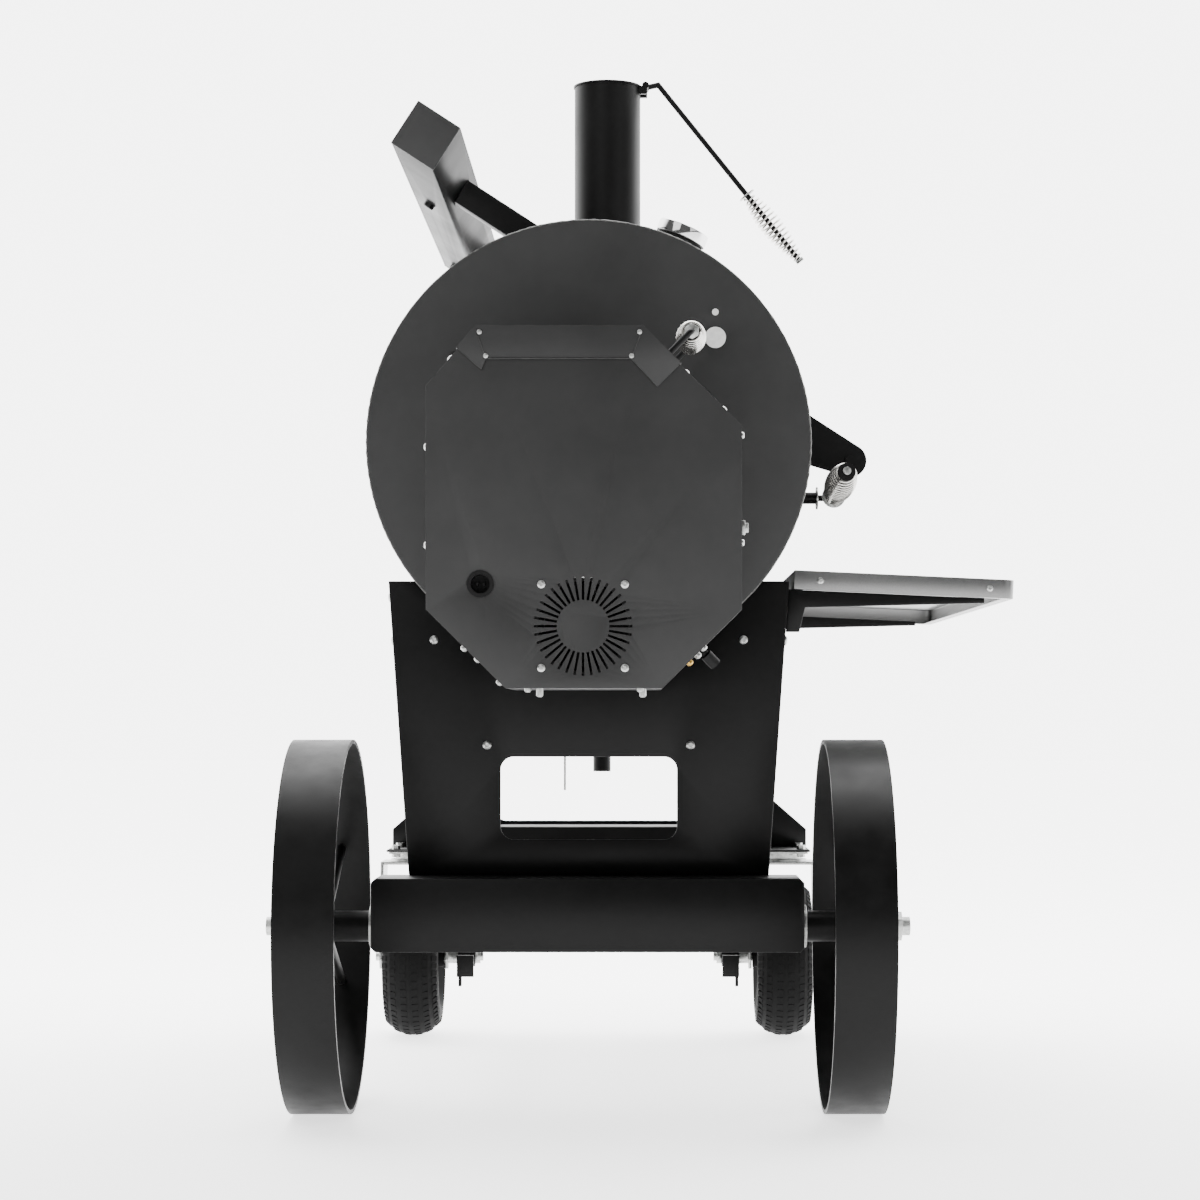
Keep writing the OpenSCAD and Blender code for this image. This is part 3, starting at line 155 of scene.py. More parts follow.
paintLooks = {
    # high-temperature spray paint baked on the barrel: satin, slightly cloudy
    "highTempPaint": dict(colour="#2e2e2e", dark="#2b2b2b", light="#323232", gloss=0.22, rough=0.5,
                          roughSpan=(0.46, 0.58), cloudMm=120, grainMm=1.6, bump=0.22, edgeWearAndHighlight=0.5, bareAndHighlitEdge="#4a4a49"),
    # powder coat on the folded housing: even, fine orange peel
    "powderCoat": dict(colour="#2a2a2a", dark="#282828", light="#2d2d2d", gloss=0.18, rough=0.48,
                       roughSpan=(0.44, 0.54), cloudMm=90, grainMm=1.2, bump=0.25, edgeWearAndHighlight=0.5, bareAndHighlitEdge="#4c4c4b"),
    # thick enamel on the cart's legs, beam and chimney: darker and a little glossier
    "frameEnamel": dict(colour="#090909", dark="#080808", light="#0b0b0b", gloss=0.14, rough=0.42,
                        roughSpan=(0.36, 0.48), cloudMm=110, grainMm=1.4, bump=0.22, edgeWearAndHighlight=0.4, bareAndHighlitEdge="#3a3a39"),
    # brushed-on enamel on the rolled wheel bands: streaky, with the most lightened edges, partly rubbed paint and
    # partly painted highlight on the rims
    "bandEnamel": dict(colour="#070707", dark="#050505", light="#0a0a0a", gloss=0.14, rough=0.4,
                       roughSpan=(0.34, 0.5), cloudMm=40, grainMm=2.2, bump=0.4, edgeWearAndHighlight=0.8, bareAndHighlitEdge="#4a4a48"),
    # weld metal under paint: a fine noise mixes dark and bright grey; the bright patches are painted highlight
    # for the glinting ripples
    "weldWithPaintedGlints": dict(colour="#3a3a3a", dark="#1d1d1d", light="#6a6a68", rough=0.5, roughSpan=(0.4, 0.6),
                        cloudMm=6, grainMm=1.5, bump=0.5),
    # seasoned steel inside the barrel: brown-black, smoked
    "smokedSteel": dict(colour="#1d1916", dark="#14110f", light="#2a231e", rough=0.6, roughSpan=(0.45, 0.75),
                        cloudMm=60, grainMm=2.5, bump=0.6),
    # moulded ABS: matte with a fine spark-eroded grain
    "mouldedAbs": dict(colour="#0a0a0a", dark="#080808", light="#0e0e0e", gloss=0.15, rough=0.55,
                       roughSpan=(0.5, 0.62), cloudMm=20, grainMm=0.8, bump=0.35),
    # tyre rubber: dull, dusty where it bulges
    "tyreRubber": dict(colour="#060606", dark="#040404", light="#090909", gloss=0.12, rough=0.72,
                       roughSpan=(0.62, 0.85), cloudMm=25, grainMm=1.0, bump=0.5),
    # pale silicone plug
    "paleSilicone": dict(colour="#e8e8e6", dark="#dededc", light="#f0f0ee", rough=0.5, roughSpan=(0.45, 0.6),
                         cloudMm=8, grainMm=0.8, bump=0.15),
    # printed dial card
    "dialCard": dict(colour="#e9e7e0", dark="#e2e0d8", light="#efede6", rough=0.6, roughSpan=(0.55, 0.65),
                     cloudMm=12, grainMm=0.5, bump=0.05),
    # red pigment on the dial needle
    "needlePaint": dict(colour="#b02218", dark="#a01c14", light="#bb2a20", rough=0.4, roughSpan=(0.35, 0.45),
                        cloudMm=5, grainMm=0.5, bump=0.05),
}
metalLooks = {
    # brushed stainless: lines along the barrel
    "brushedStainless": dict(colour="#7c7c7b", dark="#6c6c6c", light="#8a8a89", rough=0.4, roughSpan=(0.32, 0.48),
                             lineMm=0.7, stretch=(1.0, 0.02, 1.0), bump=0.25),
    # zinc plate on fasteners and casters: cool and mottled
    "zincPlate": dict(colour="#b5b6b4", dark="#969795", light="#c6c7c5", rough=0.36, roughSpan=(0.3, 0.46),
                      lineMm=4.0, stretch=(1.0, 1.0, 1.0), bump=0.1),
    # bright nickel wire of the coil grips
    "nickelWire": dict(colour="#d2d0cb", dark="#b9b7b2", light="#e0deda", rough=0.2, roughSpan=(0.15, 0.28),
                       lineMm=2.0, stretch=(1.0, 1.0, 1.0), bump=0.08),
    # polished chrome bezel
    "polishedChrome": dict(colour="#d8d8d8", dark="#cfcfcf", light="#e2e2e2", rough=0.08, roughSpan=(0.05, 0.12),
                           lineMm=3.0, stretch=(1.0, 1.0, 1.0), bump=0.02),
    # brass fitting
    "turnedBrass": dict(colour="#c29a4a", dark="#a8843c", light="#d0aa5c", rough=0.3, roughSpan=(0.24, 0.38),
                        lineMm=1.0, stretch=(1.0, 1.0, 1.0), bump=0.1),
}
finish = {name: paintedSteel(name, look) for name, look in paintLooks.items()}
finish.update({name: bareMetal(name, look) for name, look in metalLooks.items()})
print("materials ready:", len(finish))


def setFinish(obj, name):
    obj.data.materials.clear()
    obj.data.materials.append(finish[name])


def deselect():
    if bpy.context.object and bpy.context.object.mode != "OBJECT":
        bpy.ops.object.mode_set(mode="OBJECT")
    bpy.ops.object.select_all(action="DESELECT")


def makeActive(obj):
    deselect()
    obj.select_set(True)
    bpy.context.view_layer.objects.active = obj


def applyModifiers(obj):
    makeActive(obj)
    for modifier in list(obj.modifiers):
        bpy.ops.object.modifier_apply(modifier=modifier.name)


def roundEdges(obj, width, segments, angle=30):
    # bevel the edges sharper than the angle, width in metres
    bevel = obj.modifiers.new("edges", "BEVEL")
    bevel.width = width
    bevel.segments = segments
    bevel.limit_method = "ANGLE"
    bevel.angle_limit = math.radians(angle)
    applyModifiers(obj)


def cube(x, y, z):
    # a cube stretched to millimetres, centred on the origin
    deselect()
    bpy.ops.mesh.primitive_cube_add(size=1)
    obj = bpy.context.object
    obj.scale = (x * mm, y * mm, z * mm)
    bpy.ops.object.transform_apply(location=False, rotation=False, scale=True)
    return obj


def shift(obj, place):
    obj.data.transform(Matrix.Translation(place))


def spin(obj, radians, axis):
    obj.data.transform(Matrix.Rotation(radians, 4, axis))


def editTopFaces(obj):
    # into edit mode with only the upward faces selected
    bpy.ops.object.mode_set(mode="EDIT")
    bm = bmesh.from_edit_mesh(obj.data)
    for face in bm.faces:
        face.select = face.normal.z > 0.9
    bmesh.update_edit_mesh(obj.data)


def settle(obj, name, material, body, smooth=30):
    # place into the mesh, finish and body
    obj.name = name
    obj.data.name = name
    makeActive(obj)
    bpy.ops.object.transform_apply(location=True, rotation=True, scale=True)
    if smooth:
        bpy.ops.object.shade_smooth_by_angle(angle=math.radians(smooth))
    setFinish(obj, material)
    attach(obj, body)
    return obj


def joinAll(objects):
    makeActive(objects[0])
    for obj in objects:
        obj.select_set(True)
    if len(objects) > 1:
        bpy.ops.object.join()
    return bpy.context.view_layer.objects.active


def turnTo(direction):
    return Vector((0, 0, 1)).rotation_difference(Vector(direction).normalized()).to_matrix().to_4x4()


def moveTo(obj, place, direction=(0, 0, 1)):
    obj.data.transform(Matrix.Translation(Vector(place)) @ turnTo(direction))


# Folded and cut steel: the CAD shape again, merged, with its sharp edges broken
def eased(node, material, body, width, segments=2, angle=40):
    source = nodes[node]
    piece = source.copy()
    piece.data = source.data.copy()
    piece.parent = None
    for key in list(piece.keys()):
        del piece[key]
    bpy.context.collection.objects.link(piece)
    makeActive(piece)
    bpy.ops.object.mode_set(mode="EDIT")
    bpy.ops.mesh.select_all(action="SELECT")
    bpy.ops.mesh.remove_doubles(threshold=0.00002)
    bpy.ops.mesh.dissolve_limited(angle_limit=math.radians(1.0), delimit={"NORMAL"})
    bpy.ops.object.mode_set(mode="OBJECT")
    roundEdges(piece, width * mm, segments, angle)
    makeActive(piece)
    bpy.ops.object.mode_set(mode="EDIT")
    bpy.ops.mesh.select_all(action="SELECT")
    bpy.ops.mesh.quads_convert_to_tris(quad_method="BEAUTY", ngon_method="BEAUTY")
    bpy.ops.object.mode_set(mode="OBJECT")
    settle(piece, node + "_eased", material, body)
    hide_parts(node)
    return piece


bodyOf = {n: b for b, names in frame["record"]["behaviour"]["bodies"].items() for n in names}
nodeFinish = {
    "powderCoat": ["hopper_lid", "housing_shell"],
    "frameEnamel": ["near_leg_panel", "far_leg_panel", "shelf_brackets", "caster_deck", "axle_beam", "side_rails",
                    "chimney", "damper_flap", "drain_spout", "lid_handle", "door_handle", "counterweight"],
    "highTempPaint": ["barrel", "hopper_end_plate", "chimney_end_plate", "door_skin", "door_hinge_blocks",
                      "door_hinge_leaves"],
    "smokedSteel": ["door_stops", "drip_tray", "heat_diffuser", "fire_pot", "rack_brackets"],
    "bandEnamel": ["left_wheel", "right_wheel"],
    "brushedStainless": ["shelf_tray", "cooking_grate", "upper_rack", "igniter_rod"],
    "zincPlate": ["hopper_bin", "air_duct", "auger_tube", "auger_motor", "auger_shaft", "auger_flight", "axle",
                  "caster_plates", "left_fork", "right_fork", "frame_bolts", "housing_screws", "side_catch",
                  "bucket_hook"],
    "nickelWire": ["door_grip", "damper_grip"],
    "polishedChrome": ["thermometer"],
    "mouldedAbs": ["controller_panel", "control_knob", "power_button", "power_inlet", "antenna", "fan_frame",
                   "fan_rotor", "left_brake", "right_brake"],
    "tyreRubber": ["left_caster_wheel", "right_caster_wheel"],
    "paleSilicone": ["probe_plug"],
}
for material, names in nodeFinish.items():
    for name in names:
        setFinish(nodes[name], material)
print("CAD nodes finished")

easedWidths = {"hopper_lid": 0.5, "near_leg_panel": 1.2, "far_leg_panel": 1.2, "housing_shell": 0.6,
               "shelf_brackets": 0.8, "caster_deck": 2.0, "axle_beam": 6.0, "side_rails": 4.0,
               "door_hinge_blocks": 1.0, "door_hinge_leaves": 1.0, "counterweight": 2.5, "shelf_tray": 0.7,
               "left_fork": 1.0, "right_fork": 1.0,
               "controller_panel": 0.6, "control_knob": 1.0, "left_brake": 1.2, "right_brake": 1.2,
               "auger_motor": 2.0, "hopper_end_plate": 0.8, "chimney_end_plate": 0.8, "side_catch": 0.6,
               "fan_frame": 0.8, "door_skin": 0.8, "barrel": 0.8, "axle": 0.8}
finishOf = {n: m for m, names in nodeFinish.items() for n in names}
for name, width in easedWidths.items():
    eased(name, finishOf[name], bodyOf[name], width)
print("edges eased:", len(easedWidths))


# Coil-spring grips: one wire wound on each rod, fat in the middle
coil = {"turns": 16, "wire": 1.9, "steps": 24, "sides": 8, "swell": 1.0}


def coilGrip(name, body, start, end, endR, midR, replaced):
    start, end = Vector(start), Vector(end)
    length = (end - start).length
    deselect()
    bpy.ops.mesh.primitive_circle_add(vertices=coil["sides"], radius=coil["wire"] * mm, fill_type="NOTHING",
                                      location=(endR * mm, 0, coil["wire"] * mm), rotation=(math.pi / 2, 0, 0))
    piece = bpy.context.object
    bpy.ops.object.transform_apply(location=True, rotation=True, scale=True)
    screw = piece.modifiers.new("wind", "SCREW")
    screw.steps = coil["steps"]
    screw.render_steps = coil["steps"]
    screw.iterations = coil["turns"]
    screw.screw_offset = (length - 2 * coil["wire"] * mm) / coil["turns"]
    applyModifiers(piece)
    makeActive(piece)
    bpy.ops.object.mode_set(mode="EDIT")
    bpy.ops.mesh.select_all(action="DESELECT")
    bpy.ops.mesh.select_non_manifold()
    bpy.ops.mesh.edge_face_add()
    bpy.ops.mesh.select_all(action="SELECT")
    bpy.ops.mesh.normals_make_consistent(inside=False)
    bpy.ops.object.mode_set(mode="OBJECT")
    for v in piece.data.vertices:  # the winding swells between its two ends
        along = min(max(v.co.z / length, 0), 1)
        grow = (midR - endR) * mm * math.sin(math.pi * along ** 0.85) ** coil["swell"] if 0 < along < 1 else 0
        flat = Vector((v.co.x, v.co.y))
        if flat.length > 0:
            flat *= (flat.length + grow) / flat.length
        v.co.x, v.co.y = flat
    moveTo(piece, start, end - start)
    settle(piece, name, "nickelWire", body, smooth=60)
    if replaced:
        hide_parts(*replaced)
    return piece


def nodeEnds(node):
    low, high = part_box(node)
    return Vector(low), Vector(high)


# Turned washer or collar: a disc with its rims broken
def collar(name, body, place, direction, radius, thick, material="zincPlate", sides=40, bevel=0.5):
    deselect()
    bpy.ops.mesh.primitive_cylinder_add(vertices=sides, radius=radius * mm, depth=thick * mm, location=(0, 0, 0))
    piece = bpy.context.object
    roundEdges(piece, min(bevel, thick * 0.3) * mm, 2)
    moveTo(piece, place, direction)
    return settle(piece, name, material, body)


# Places on the part: the barrel's axis and its hopper end in metres, the axis height in millimetres
barrelR = 0.305
axisZ = 916.5
barrelX = nodeEnds("barrel")[0].x + barrelR
frontY = nodeEnds("hopper_end_plate")[0].y


def at(x, y, z):
    # millimetres from the barrel's axis and the hopper end plate, Z from the floor
    return Vector((barrelX + x * mm, frontY + y * mm, z * mm))


def outOfBarrel(angle):
    turn = math.radians(angle)
    return Vector((math.sin(turn), 0, math.cos(turn)))


# Damper lever: the knee and the tip of its rod, and the sizes of its grip, washer and nut
lever = {"knee": (102.15, 1045, 1637), "tip": (346.15, 1045, 1334), "grip": 141, "endR": 7.0, "midR": 18.0,
         "washerR": 15, "washerThick": 2.2, "nutR": 8, "nutThick": 6}
tip = at(*lever["tip"])
leverRun = (tip - at(*lever["knee"])).normalized()
coilStart = tip - leverRun * lever["grip"] * mm
coilGrip("damper_coil", "damper", coilStart, tip, lever["endR"], lever["midR"], ["damper_grip"])
collar("damper_coil_washer", "damper", coilStart - leverRun * 2 * mm, leverRun, lever["washerR"],
       lever["washerThick"])
collar("damper_lever_nut", "damper", tip + leverRun * 3 * mm, leverRun, lever["nutR"], lever["nutThick"],
       sides=6)

# Door handle: its bar from the free end to the elbow, and the radii of its coil
doorBar = {"end": (359, 70, 881), "elbow": (350, 220, 856), "endR": 12, "midR": 20}
handleEnd = at(*doorBar["end"])
gripRun = (at(*doorBar["elbow"]) - handleEnd).normalized()
coilGrip("door_coil", "door", handleEnd + gripRun * 2 * mm, handleEnd + gripRun * 138 * mm, doorBar["endR"],
         doorBar["midR"], ["door_grip"])
collar("door_coil_nut", "door", handleEnd - gripRun * 3 * mm, gripRun, 12.4, 6, sides=6)
collar("door_coil_bolt", "door", handleEnd - gripRun * 8 * mm, gripRun, 6, 4, bevel=1.4)
collar("door_coil_washer", "door", handleEnd + gripRun * 141 * mm, gripRun, 17, 2)
collar("door_arm_washer", "door", at(327, 220, 856), (1, 0, 0), 16.4, 2.6)


# Bent rod: a small circle swept along its path by a curve, turned to mesh
def bentRod(name, body, places, radius, material, corner=6):
    line = bpy.data.curves.new(name, "CURVE")
    line.dimensions = "3D"
    line.bevel_depth = radius * mm
    line.bevel_resolution = 4
    line.use_fill_caps = True
    path = [places[0]]
    for before, here, after in zip(places, places[1:], places[2:]):
        for k in range(7):
            t = k / 6
            start = here + (before - here).normalized() * corner * mm
            end = here + (after - here).normalized() * corner * mm
            path.append(start * (1 - t) ** 2 + here * 2 * t * (1 - t) + end * t ** 2)
    path.append(places[-1])
    spline = line.splines.new("POLY")
    spline.points.add(len(path) - 1)
    for point, place in zip(spline.points, path):
        point.co = (*place, 1)
    piece = bpy.data.objects.new(name, line)
    bpy.context.collection.objects.link(piece)
    makeActive(piece)
    bpy.ops.object.convert(target="MESH")
    return settle(bpy.context.object, name, material, body, smooth=50)


# Lid bail: feet on the lid's slope, a rod out and along, a coil round the middle
bail = {"foot": 44, "lift": 2.6, "reach": 42, "y": (-304, -150), "rodR": 4, "endR": 11, "midR": 18}
corner = Vector((73.5, 0, 1028.0))
slope = Vector((125, 0, -123)).normalized()
normal = Vector((123, 0, 125)).normalized()
foot = corner + slope * bail["foot"] + normal * bail["lift"]
top = foot + normal * bail["reach"]
feet = [at(foot.x, y, foot.z) for y in bail["y"]]
tops = [at(top.x, y, top.z) for y in bail["y"]]
rodPiece = bentRod("lid_bail", "lid", [feet[0], tops[0], tops[1], feet[1]], bail["rodR"], "frameEnamel")
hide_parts("lid_handle")
coilGrip("lid_coil", "lid", tops[0] + Vector((0, 12, 0)) * mm, tops[1] - Vector((0, 10, 0)) * mm, bail["endR"],
         bail["midR"], None)
collar("lid_coil_nut", "lid", tops[0] + Vector((0, 8, 0)) * mm, (0, 1, 0), 10, 6, sides=6)
for number, place in enumerate(feet):
    collar("lid_bail_foot_%d" % (number + 1), "lid", place + normal * mm, normal, 9, 2.2, material="frameEnamel")
print("grips and bail made")


# Round-headed socket screws where the CAD has plain studs
screw = {"dome": 0.55, "socket": 0.5, "sides": 24}


def loose(node):
    # the separate lumps of a node, as lists of points
    bm = bmesh.new()
    bm.from_mesh(nodes[node].data)
    bmesh.ops.remove_doubles(bm, verts=bm.verts, dist=0.00002)
    left = set(bm.verts)
    lumps = []
    while left:
        stack = [left.pop()]
        lump = []
        while stack:
            v = stack.pop()
            lump.append(v.co.copy())
            for edge in v.link_edges:
                other = edge.other_vert(v)
                if other in left:
                    left.remove(other)
                    stack.append(other)
        lumps.append(lump)
    bm.free()
    return lumps


# Ways a stud can point: the axes, then square to the lid, the housing's corners, the flanges and the shelf
studAxes = [Vector((1, 0, 0)), Vector((0, 1, 0)), Vector((0, 0, 1)), slope, normal,
            Vector((-99, 0, -100)).normalized(), Vector((99, 0, -100)).normalized(),
            Vector((-73, 0, 63.5)).normalized(), Vector((1, 0, -0.0685)).normalized(),
            Vector((1, 0, 0.0685)).normalized(), Vector((0.0454, 0, 0.999))]


def studOf(lump, inward):
    # base, outward axis, height and radius of a round stud
    centre = sum(lump, Vector()) / len(lump)
    offRim = 0.00015
    best = None
    for axis in studAxes:
        along = [(p - centre).dot(axis) for p in lump]
        half = (max(along) - min(along)) / 2
        rims = [((p - centre) - axis * (p - centre).dot(axis)).length for p in lump]
        spread = sum(1 for a, r in zip(along, rims)
                     if abs(abs(a) - half) > offRim or abs(r - max(rims)) > offRim)
        if best is None or spread < best[0]:
            best = (spread, axis, half, max(rims))
    axis = best[1] if best[1].dot(centre - inward) > 0 else -best[1]
    return centre - axis * best[2], axis, best[2] * 2, best[3]


def socketHead(place, axis, height, radius):
    deselect()
    bpy.ops.mesh.primitive_cylinder_add(vertices=screw["sides"], radius=radius, depth=height, location=(0, 0, 0))
    piece = bpy.context.object
    editTopFaces(piece)
    drop = min(height, radius) * screw["dome"]
    for share in (0.35, 0.75, 1.0):
        bpy.ops.mesh.inset(thickness=radius * (1 - screw["socket"]) / 3, depth=0)
        bpy.ops.transform.translate(value=(0, 0, drop / 3 * (1 if share < 1 else 0.4)))
    bpy.ops.mesh.extrude_region_move(TRANSFORM_OT_translate={"value": (0, 0, -min(height, radius) * 0.6)})
    bpy.ops.object.mode_set(mode="OBJECT")
    moveTo(piece, place + axis * (height / 2 - drop * 0.8), axis)
    return piece


def screws(node, inward, rules):
    made = {}
    for lump in loose(node):
        place, axis, height, radius = studOf(lump, inward)
        material = rules(place)
        made.setdefault(material, []).append(socketHead(place, axis, height, radius))
    for material, heads in made.items():
        piece = settle(joinAll(heads), node + "_" + material, material, bodyOf[node], smooth=35)
        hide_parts(node)
    print(node, "heads:", sum(len(h) for h in made.values()))


brassPlace = at(132.5, -310, 608)
screws("housing_screws", at(0, 100, 800),
       lambda p: "turnedBrass" if (p - brassPlace).length < 12 * mm else "zincPlate")
screws("frame_bolts", at(0, 600, 620), lambda p: "zincPlate")


# Weld beads, rippled as they were laid
weld = {"bead": 2.4, "pitch": 5.0, "ripple": 0.3}


def weldRing(name, body, centre, direction, radius):
    deselect()
    around = int(2 * math.pi * radius / (weld["pitch"] * mm)) * 4
    bpy.ops.mesh.primitive_torus_add(major_segments=around, minor_segments=8, major_radius=radius,
                                     minor_radius=weld["bead"] * mm)
    piece = bpy.context.object
    for v in piece.data.vertices:
        turn = math.atan2(v.co.y, v.co.x)
        ring = Vector((math.cos(turn), math.sin(turn), 0)) * radius
        swell = 1 - weld["ripple"] * abs(math.sin(turn * around / 8)) + random.uniform(-0.06, 0.06)
        v.co = ring + (v.co - ring) * swell
    moveTo(piece, centre, direction)
    # the bead's colour carries painted highlight patches
    return settle(piece, name, "weldWithPaintedGlints", body, smooth=60)


weldRing("hopper_end_weld", "cart", at(0, 2, axisZ), (0, 1, 0), 0.3045)
weldRing("chimney_end_weld", "cart", at(0, 1118, axisZ), (0, 1, 0), 0.3045)
weldRing("spout_weld", "cart", at(12, 470, 611), (0, 0, 1), 0.018)
print("welds laid")


# Counterweight: welded end caps
weight = {"x": -225.5, "z": 1342, "side": 70, "lean": 33, "cap": 5, "ends": (21.5, 1098.5), "corner": 1.6}
for number, y in enumerate(weight["ends"]):
    cap = cube(weight["side"], weight["cap"], weight["side"])
    roundEdges(cap, weight["corner"] * mm, 3)
    spin(cap, math.radians(weight["lean"]), "Y")
    shift(cap, at(weight["x"], y, weight["z"]))
    settle(cap, "weight_cap_%d" % (number + 1), "highTempPaint", "door")
print("counterweight capped")


# Folds of the hopper lid: fine bright lines with rivets at the corners
lidFold = {"line": 0.7, "rivet": 3.2, "front": -343.2}
foldLines = [((73.5, 1026), (60, 989)), ((-135, 1026), (-123, 989)), ((60, 989), (-123, 989))]
for number, (start, end) in enumerate(foldLines):
    a = at(start[0], lidFold["front"], start[1])
    b = at(end[0], lidFold["front"], end[1])
    collar("lid_fold_%d" % (number + 1), "lid", (a + b) / 2, b - a, lidFold["line"], (b - a).length / mm,
           material="powderCoat", sides=8, bevel=0.1)
for number, (x, z) in enumerate(((60, 992), (-123, 992), (70, 1022), (-131, 1022))):
    collar("lid_rivet_%d" % (number + 1), "lid", at(x, lidFold["front"], z), (0, 1, 0), lidFold["rivet"], 1.6,
           sides=20)
print("lid folds marked")


# Dial thermometer on the door: bezel, card, stem, hexagon, needle and marks
gauge = {"angle": 23, "y": 130, "rim": 36.5, "deep": 17, "card": 31, "hexR": 13, "rounding": 1.6,
         "needle": (1.4, 26, 0.5), "reading": 130, "marks": 41, "firstMark": 135, "markStep": 6.75,
         "longMark": 4.5, "shortMark": 2.4, "markR": 28.5, "markWide": 0.5, "markThick": 0.12}
outward = outOfBarrel(gauge["angle"])
gaugeFoot = at(0, gauge["y"], axisZ) + outward * barrelR
deselect()
bpy.ops.mesh.primitive_cylinder_add(vertices=72, radius=gauge["rim"] * mm, depth=gauge["deep"] * mm)
bezel = bpy.context.object
editTopFaces(bezel)
bpy.ops.mesh.inset(thickness=(gauge["rim"] - gauge["card"]) * mm, depth=0)
bpy.ops.mesh.extrude_region_move(TRANSFORM_OT_translate={"value": (0, 0, -3 * mm)})
bpy.ops.object.mode_set(mode="OBJECT")
roundEdges(bezel, gauge["rounding"] * mm, 3, angle=50)
moveTo(bezel, gaugeFoot + outward * 29.5 * mm, outward)
settle(bezel, "gauge_bezel", "polishedChrome", "door", smooth=35)
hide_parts("thermometer")
collar("gauge_back", "door", gaugeFoot + outward * 20.6 * mm, outward, 33, 1.6, material="mouldedAbs", sides=64)
collar("gauge_card", "door", gaugeFoot + outward * 35.3 * mm, outward, 30.8, 0.6, material="dialCard", sides=64,
       bevel=0.1)
collar("gauge_stem", "door", gaugeFoot - outward * 12 * mm, outward, 5.5, 66)
collar("gauge_hexagon", "door", gaugeFoot + outward * 4 * mm, outward, gauge["hexR"], 8, sides=6)
collar("gauge_hub", "door", gaugeFoot + outward * 36.2 * mm, outward, 3, 1.4, material="turnedBrass", sides=24)
needle = cube(*gauge["needle"])
for v in needle.data.vertices:
    v.co.y += 8 * mm
    v.co.x *= 0.3 if v.co.y > 10 * mm else 1.0
spin(needle, math.radians(gauge["reading"]), "Z")
moveTo(needle, gaugeFoot + outward * 36.3 * mm, outward)
settle(needle, "gauge_needle", "needlePaint", "door", smooth=0)
marks = []
for number in range(gauge["marks"]):
    long = gauge["longMark"] if number % 5 == 0 else gauge["shortMark"]
    mark = cube(gauge["markWide"], long, gauge["markThick"])
    shift(mark, (0, (gauge["markR"] - long / 2) * mm, 0))
    spin(mark, math.radians(gauge["firstMark"] - number * gauge["markStep"]), "Z")
    marks.append(mark)
dialMarks = joinAll(marks)
moveTo(dialMarks, gaugeFoot + outward * 35.66 * mm, outward)
settle(dialMarks, "gauge_marks", "mouldedAbs", "door", smooth=0)
print("thermometer built")


# Tread blocks on the caster tyres
tread = {"count": 58, "across": (9, 26, 40), "block": (10, 8, 5.5), "tyreR": 132.5, "crown": 38,
         "half": 47, "leanHalf": 49, "leanShare": 0.8, "sunk": 0.42}
for name in ("left", "right"):
    low, high = nodeEnds(name + "_caster_wheel")
    blocks = []
    for number in range(tread["count"]):
        for edge in (-1, 1):
            for row, across in enumerate(tread["across"]):
                shoulder = math.sqrt(max(1 - (across / tread["half"]) ** 2, 0.05))
                block = cube(*tread["block"])
                spin(block, edge * math.asin(min(across / tread["leanHalf"], 1)) * tread["leanShare"], "Y")
                height = tread["tyreR"] - tread["crown"] * (1 - shoulder) - tread["block"][2] * tread["sunk"]
                shift(block, (edge * across * mm, 0, height * mm))
                spin(block, (number + (0.5 if row % 2 else 0)) * 2 * math.pi / tread["count"], "X")
                blocks.append(block)
    treads = joinAll(blocks)
    shift(treads, (low + high) / 2)
    settle(treads, name + "_tread", "tyreRubber", name + "_caster_wheel", smooth=0)
print("treads cut")

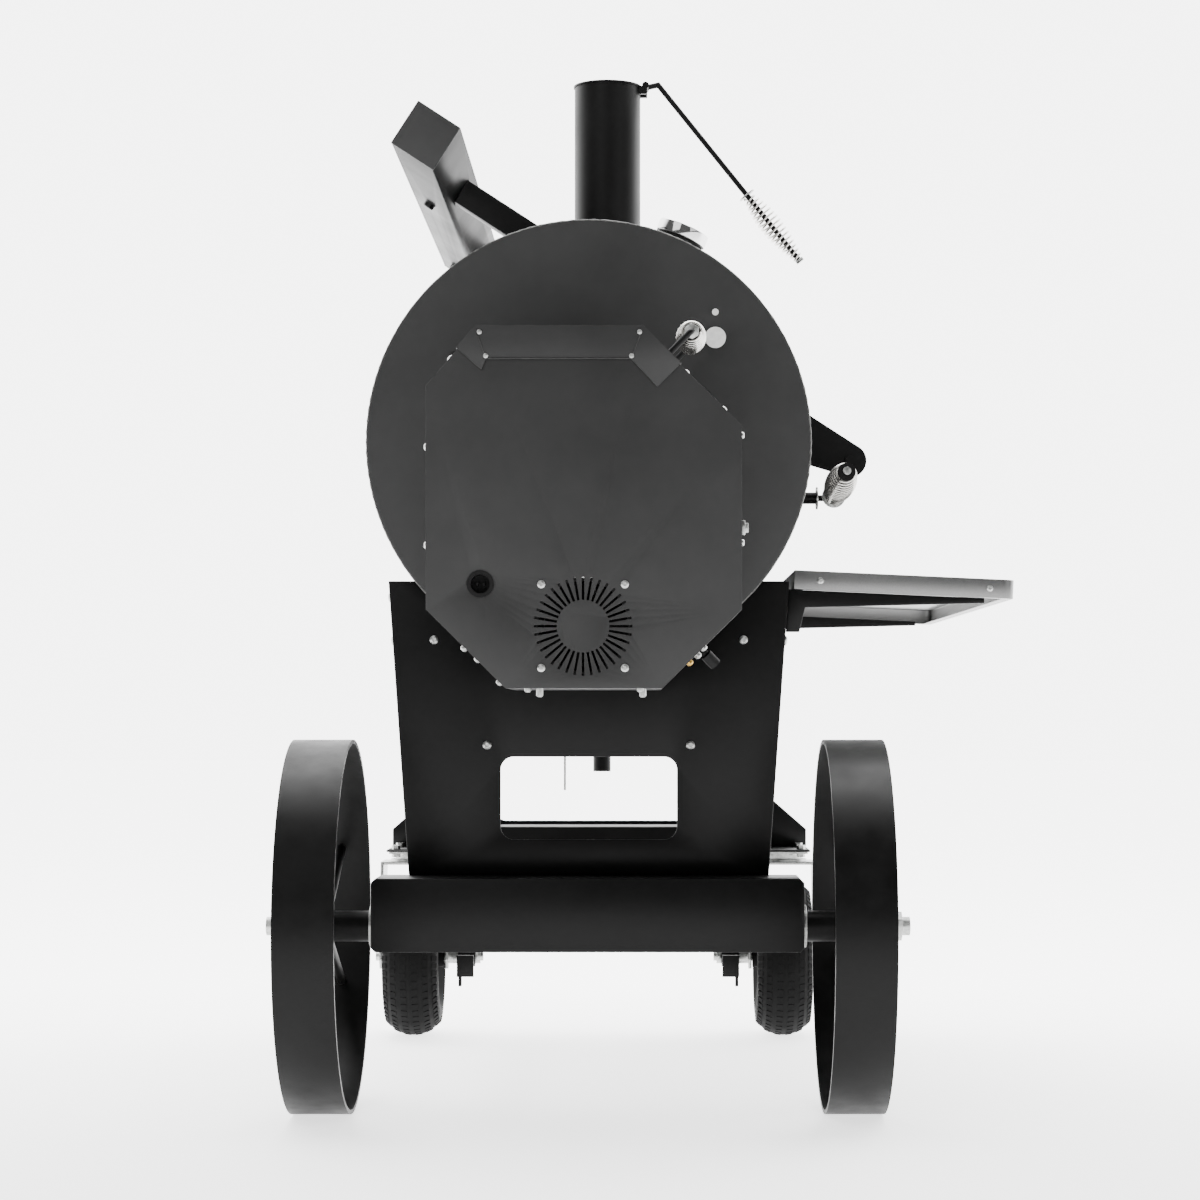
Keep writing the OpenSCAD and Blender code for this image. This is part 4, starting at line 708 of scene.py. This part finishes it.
# Camera, floor and light
view = {"lens": 85.8, "shiftX": -1 / 30, "shiftY": 23 / 240, "distance": 3.929, "height": 0.5415,
        "side": 0.0705}
deselect()
bpy.ops.object.camera_add(location=(barrelX + view["side"], frontY - view["distance"], view["height"]),
                          rotation=(math.pi / 2, 0, 0))
camera = bpy.context.object
camera.data.lens = view["lens"]
camera.data.sensor_width = 36
camera.data.shift_x = view["shiftX"]
camera.data.shift_y = view["shiftY"]
camera.data.clip_end = 60
bpy.context.scene.camera = camera

bpy.ops.mesh.primitive_plane_add(size=60, location=(0, 0, -0.0005))
floor = bpy.context.object
floor.name = "studio_floor"
floorPaint, floorTree, floorShader, floorCoords = startMaterial("whiteSweep", "#f6f6f6", 0.8)
floorShader.inputs["Emission Color"].default_value = (1, 1, 1, 1)
# the floor glows by its own emission, dim in front and brighter behind: a painted fall-off of the studio light
spread = addNode(floorTree, "ShaderNodeSeparateXYZ", links={"Vector": floorCoords})
shine = addNode(floorTree, "ShaderNodeMapRange",
                {"From Min": -1.6, "From Max": 1.4, "To Min": 0.7, "To Max": 3.6},
                {"Value": spread.outputs["Y"]})
floorTree.links.new(shine.outputs["Result"], floorShader.inputs["Emission Strength"])
floor.data.materials.append(floorPaint)

world = bpy.data.worlds.new("studioAir")
bpy.context.scene.world = world
world.use_nodes = True
# a white cyclorama behind, a dim room in front: the paint stays dark where it faces the room
air = world.node_tree
toward = addNode(air, "ShaderNodeTexCoord")
split = addNode(air, "ShaderNodeSeparateXYZ", links={"Vector": toward.outputs["Generated"]})
glow = addNode(air, "ShaderNodeMapRange", {"From Min": -0.1, "From Max": 0.4, "To Min": 0.14, "To Max": 6.0},
               {"Value": split.outputs["Y"]})
air.nodes["Background"].inputs["Color"].default_value = (1, 1, 1, 1)
air.links.new(glow.outputs["Result"], air.nodes["Background"].inputs["Strength"])

lamps = [
    ("key_softbox", (-2.2, -4.6, 3.6), (math.radians(50), 0, math.radians(-26)), 3.0, 60),
    ("fill_softbox", (3.4, -3.4, 2.4), (math.radians(62), 0, math.radians(46)), 2.4, 24),
    ("top_softbox", (0, 0.6, 4.6), (0, 0, 0), 4.0, 300),
]
for name, place, turn, size, power in lamps:
    deselect()
    bpy.ops.object.light_add(type="AREA", location=place, rotation=turn)
    lamp = bpy.context.object
    lamp.name = name
    lamp.data.shape = "SQUARE"
    lamp.data.size = size
    lamp.data.energy = power
print("stage set")
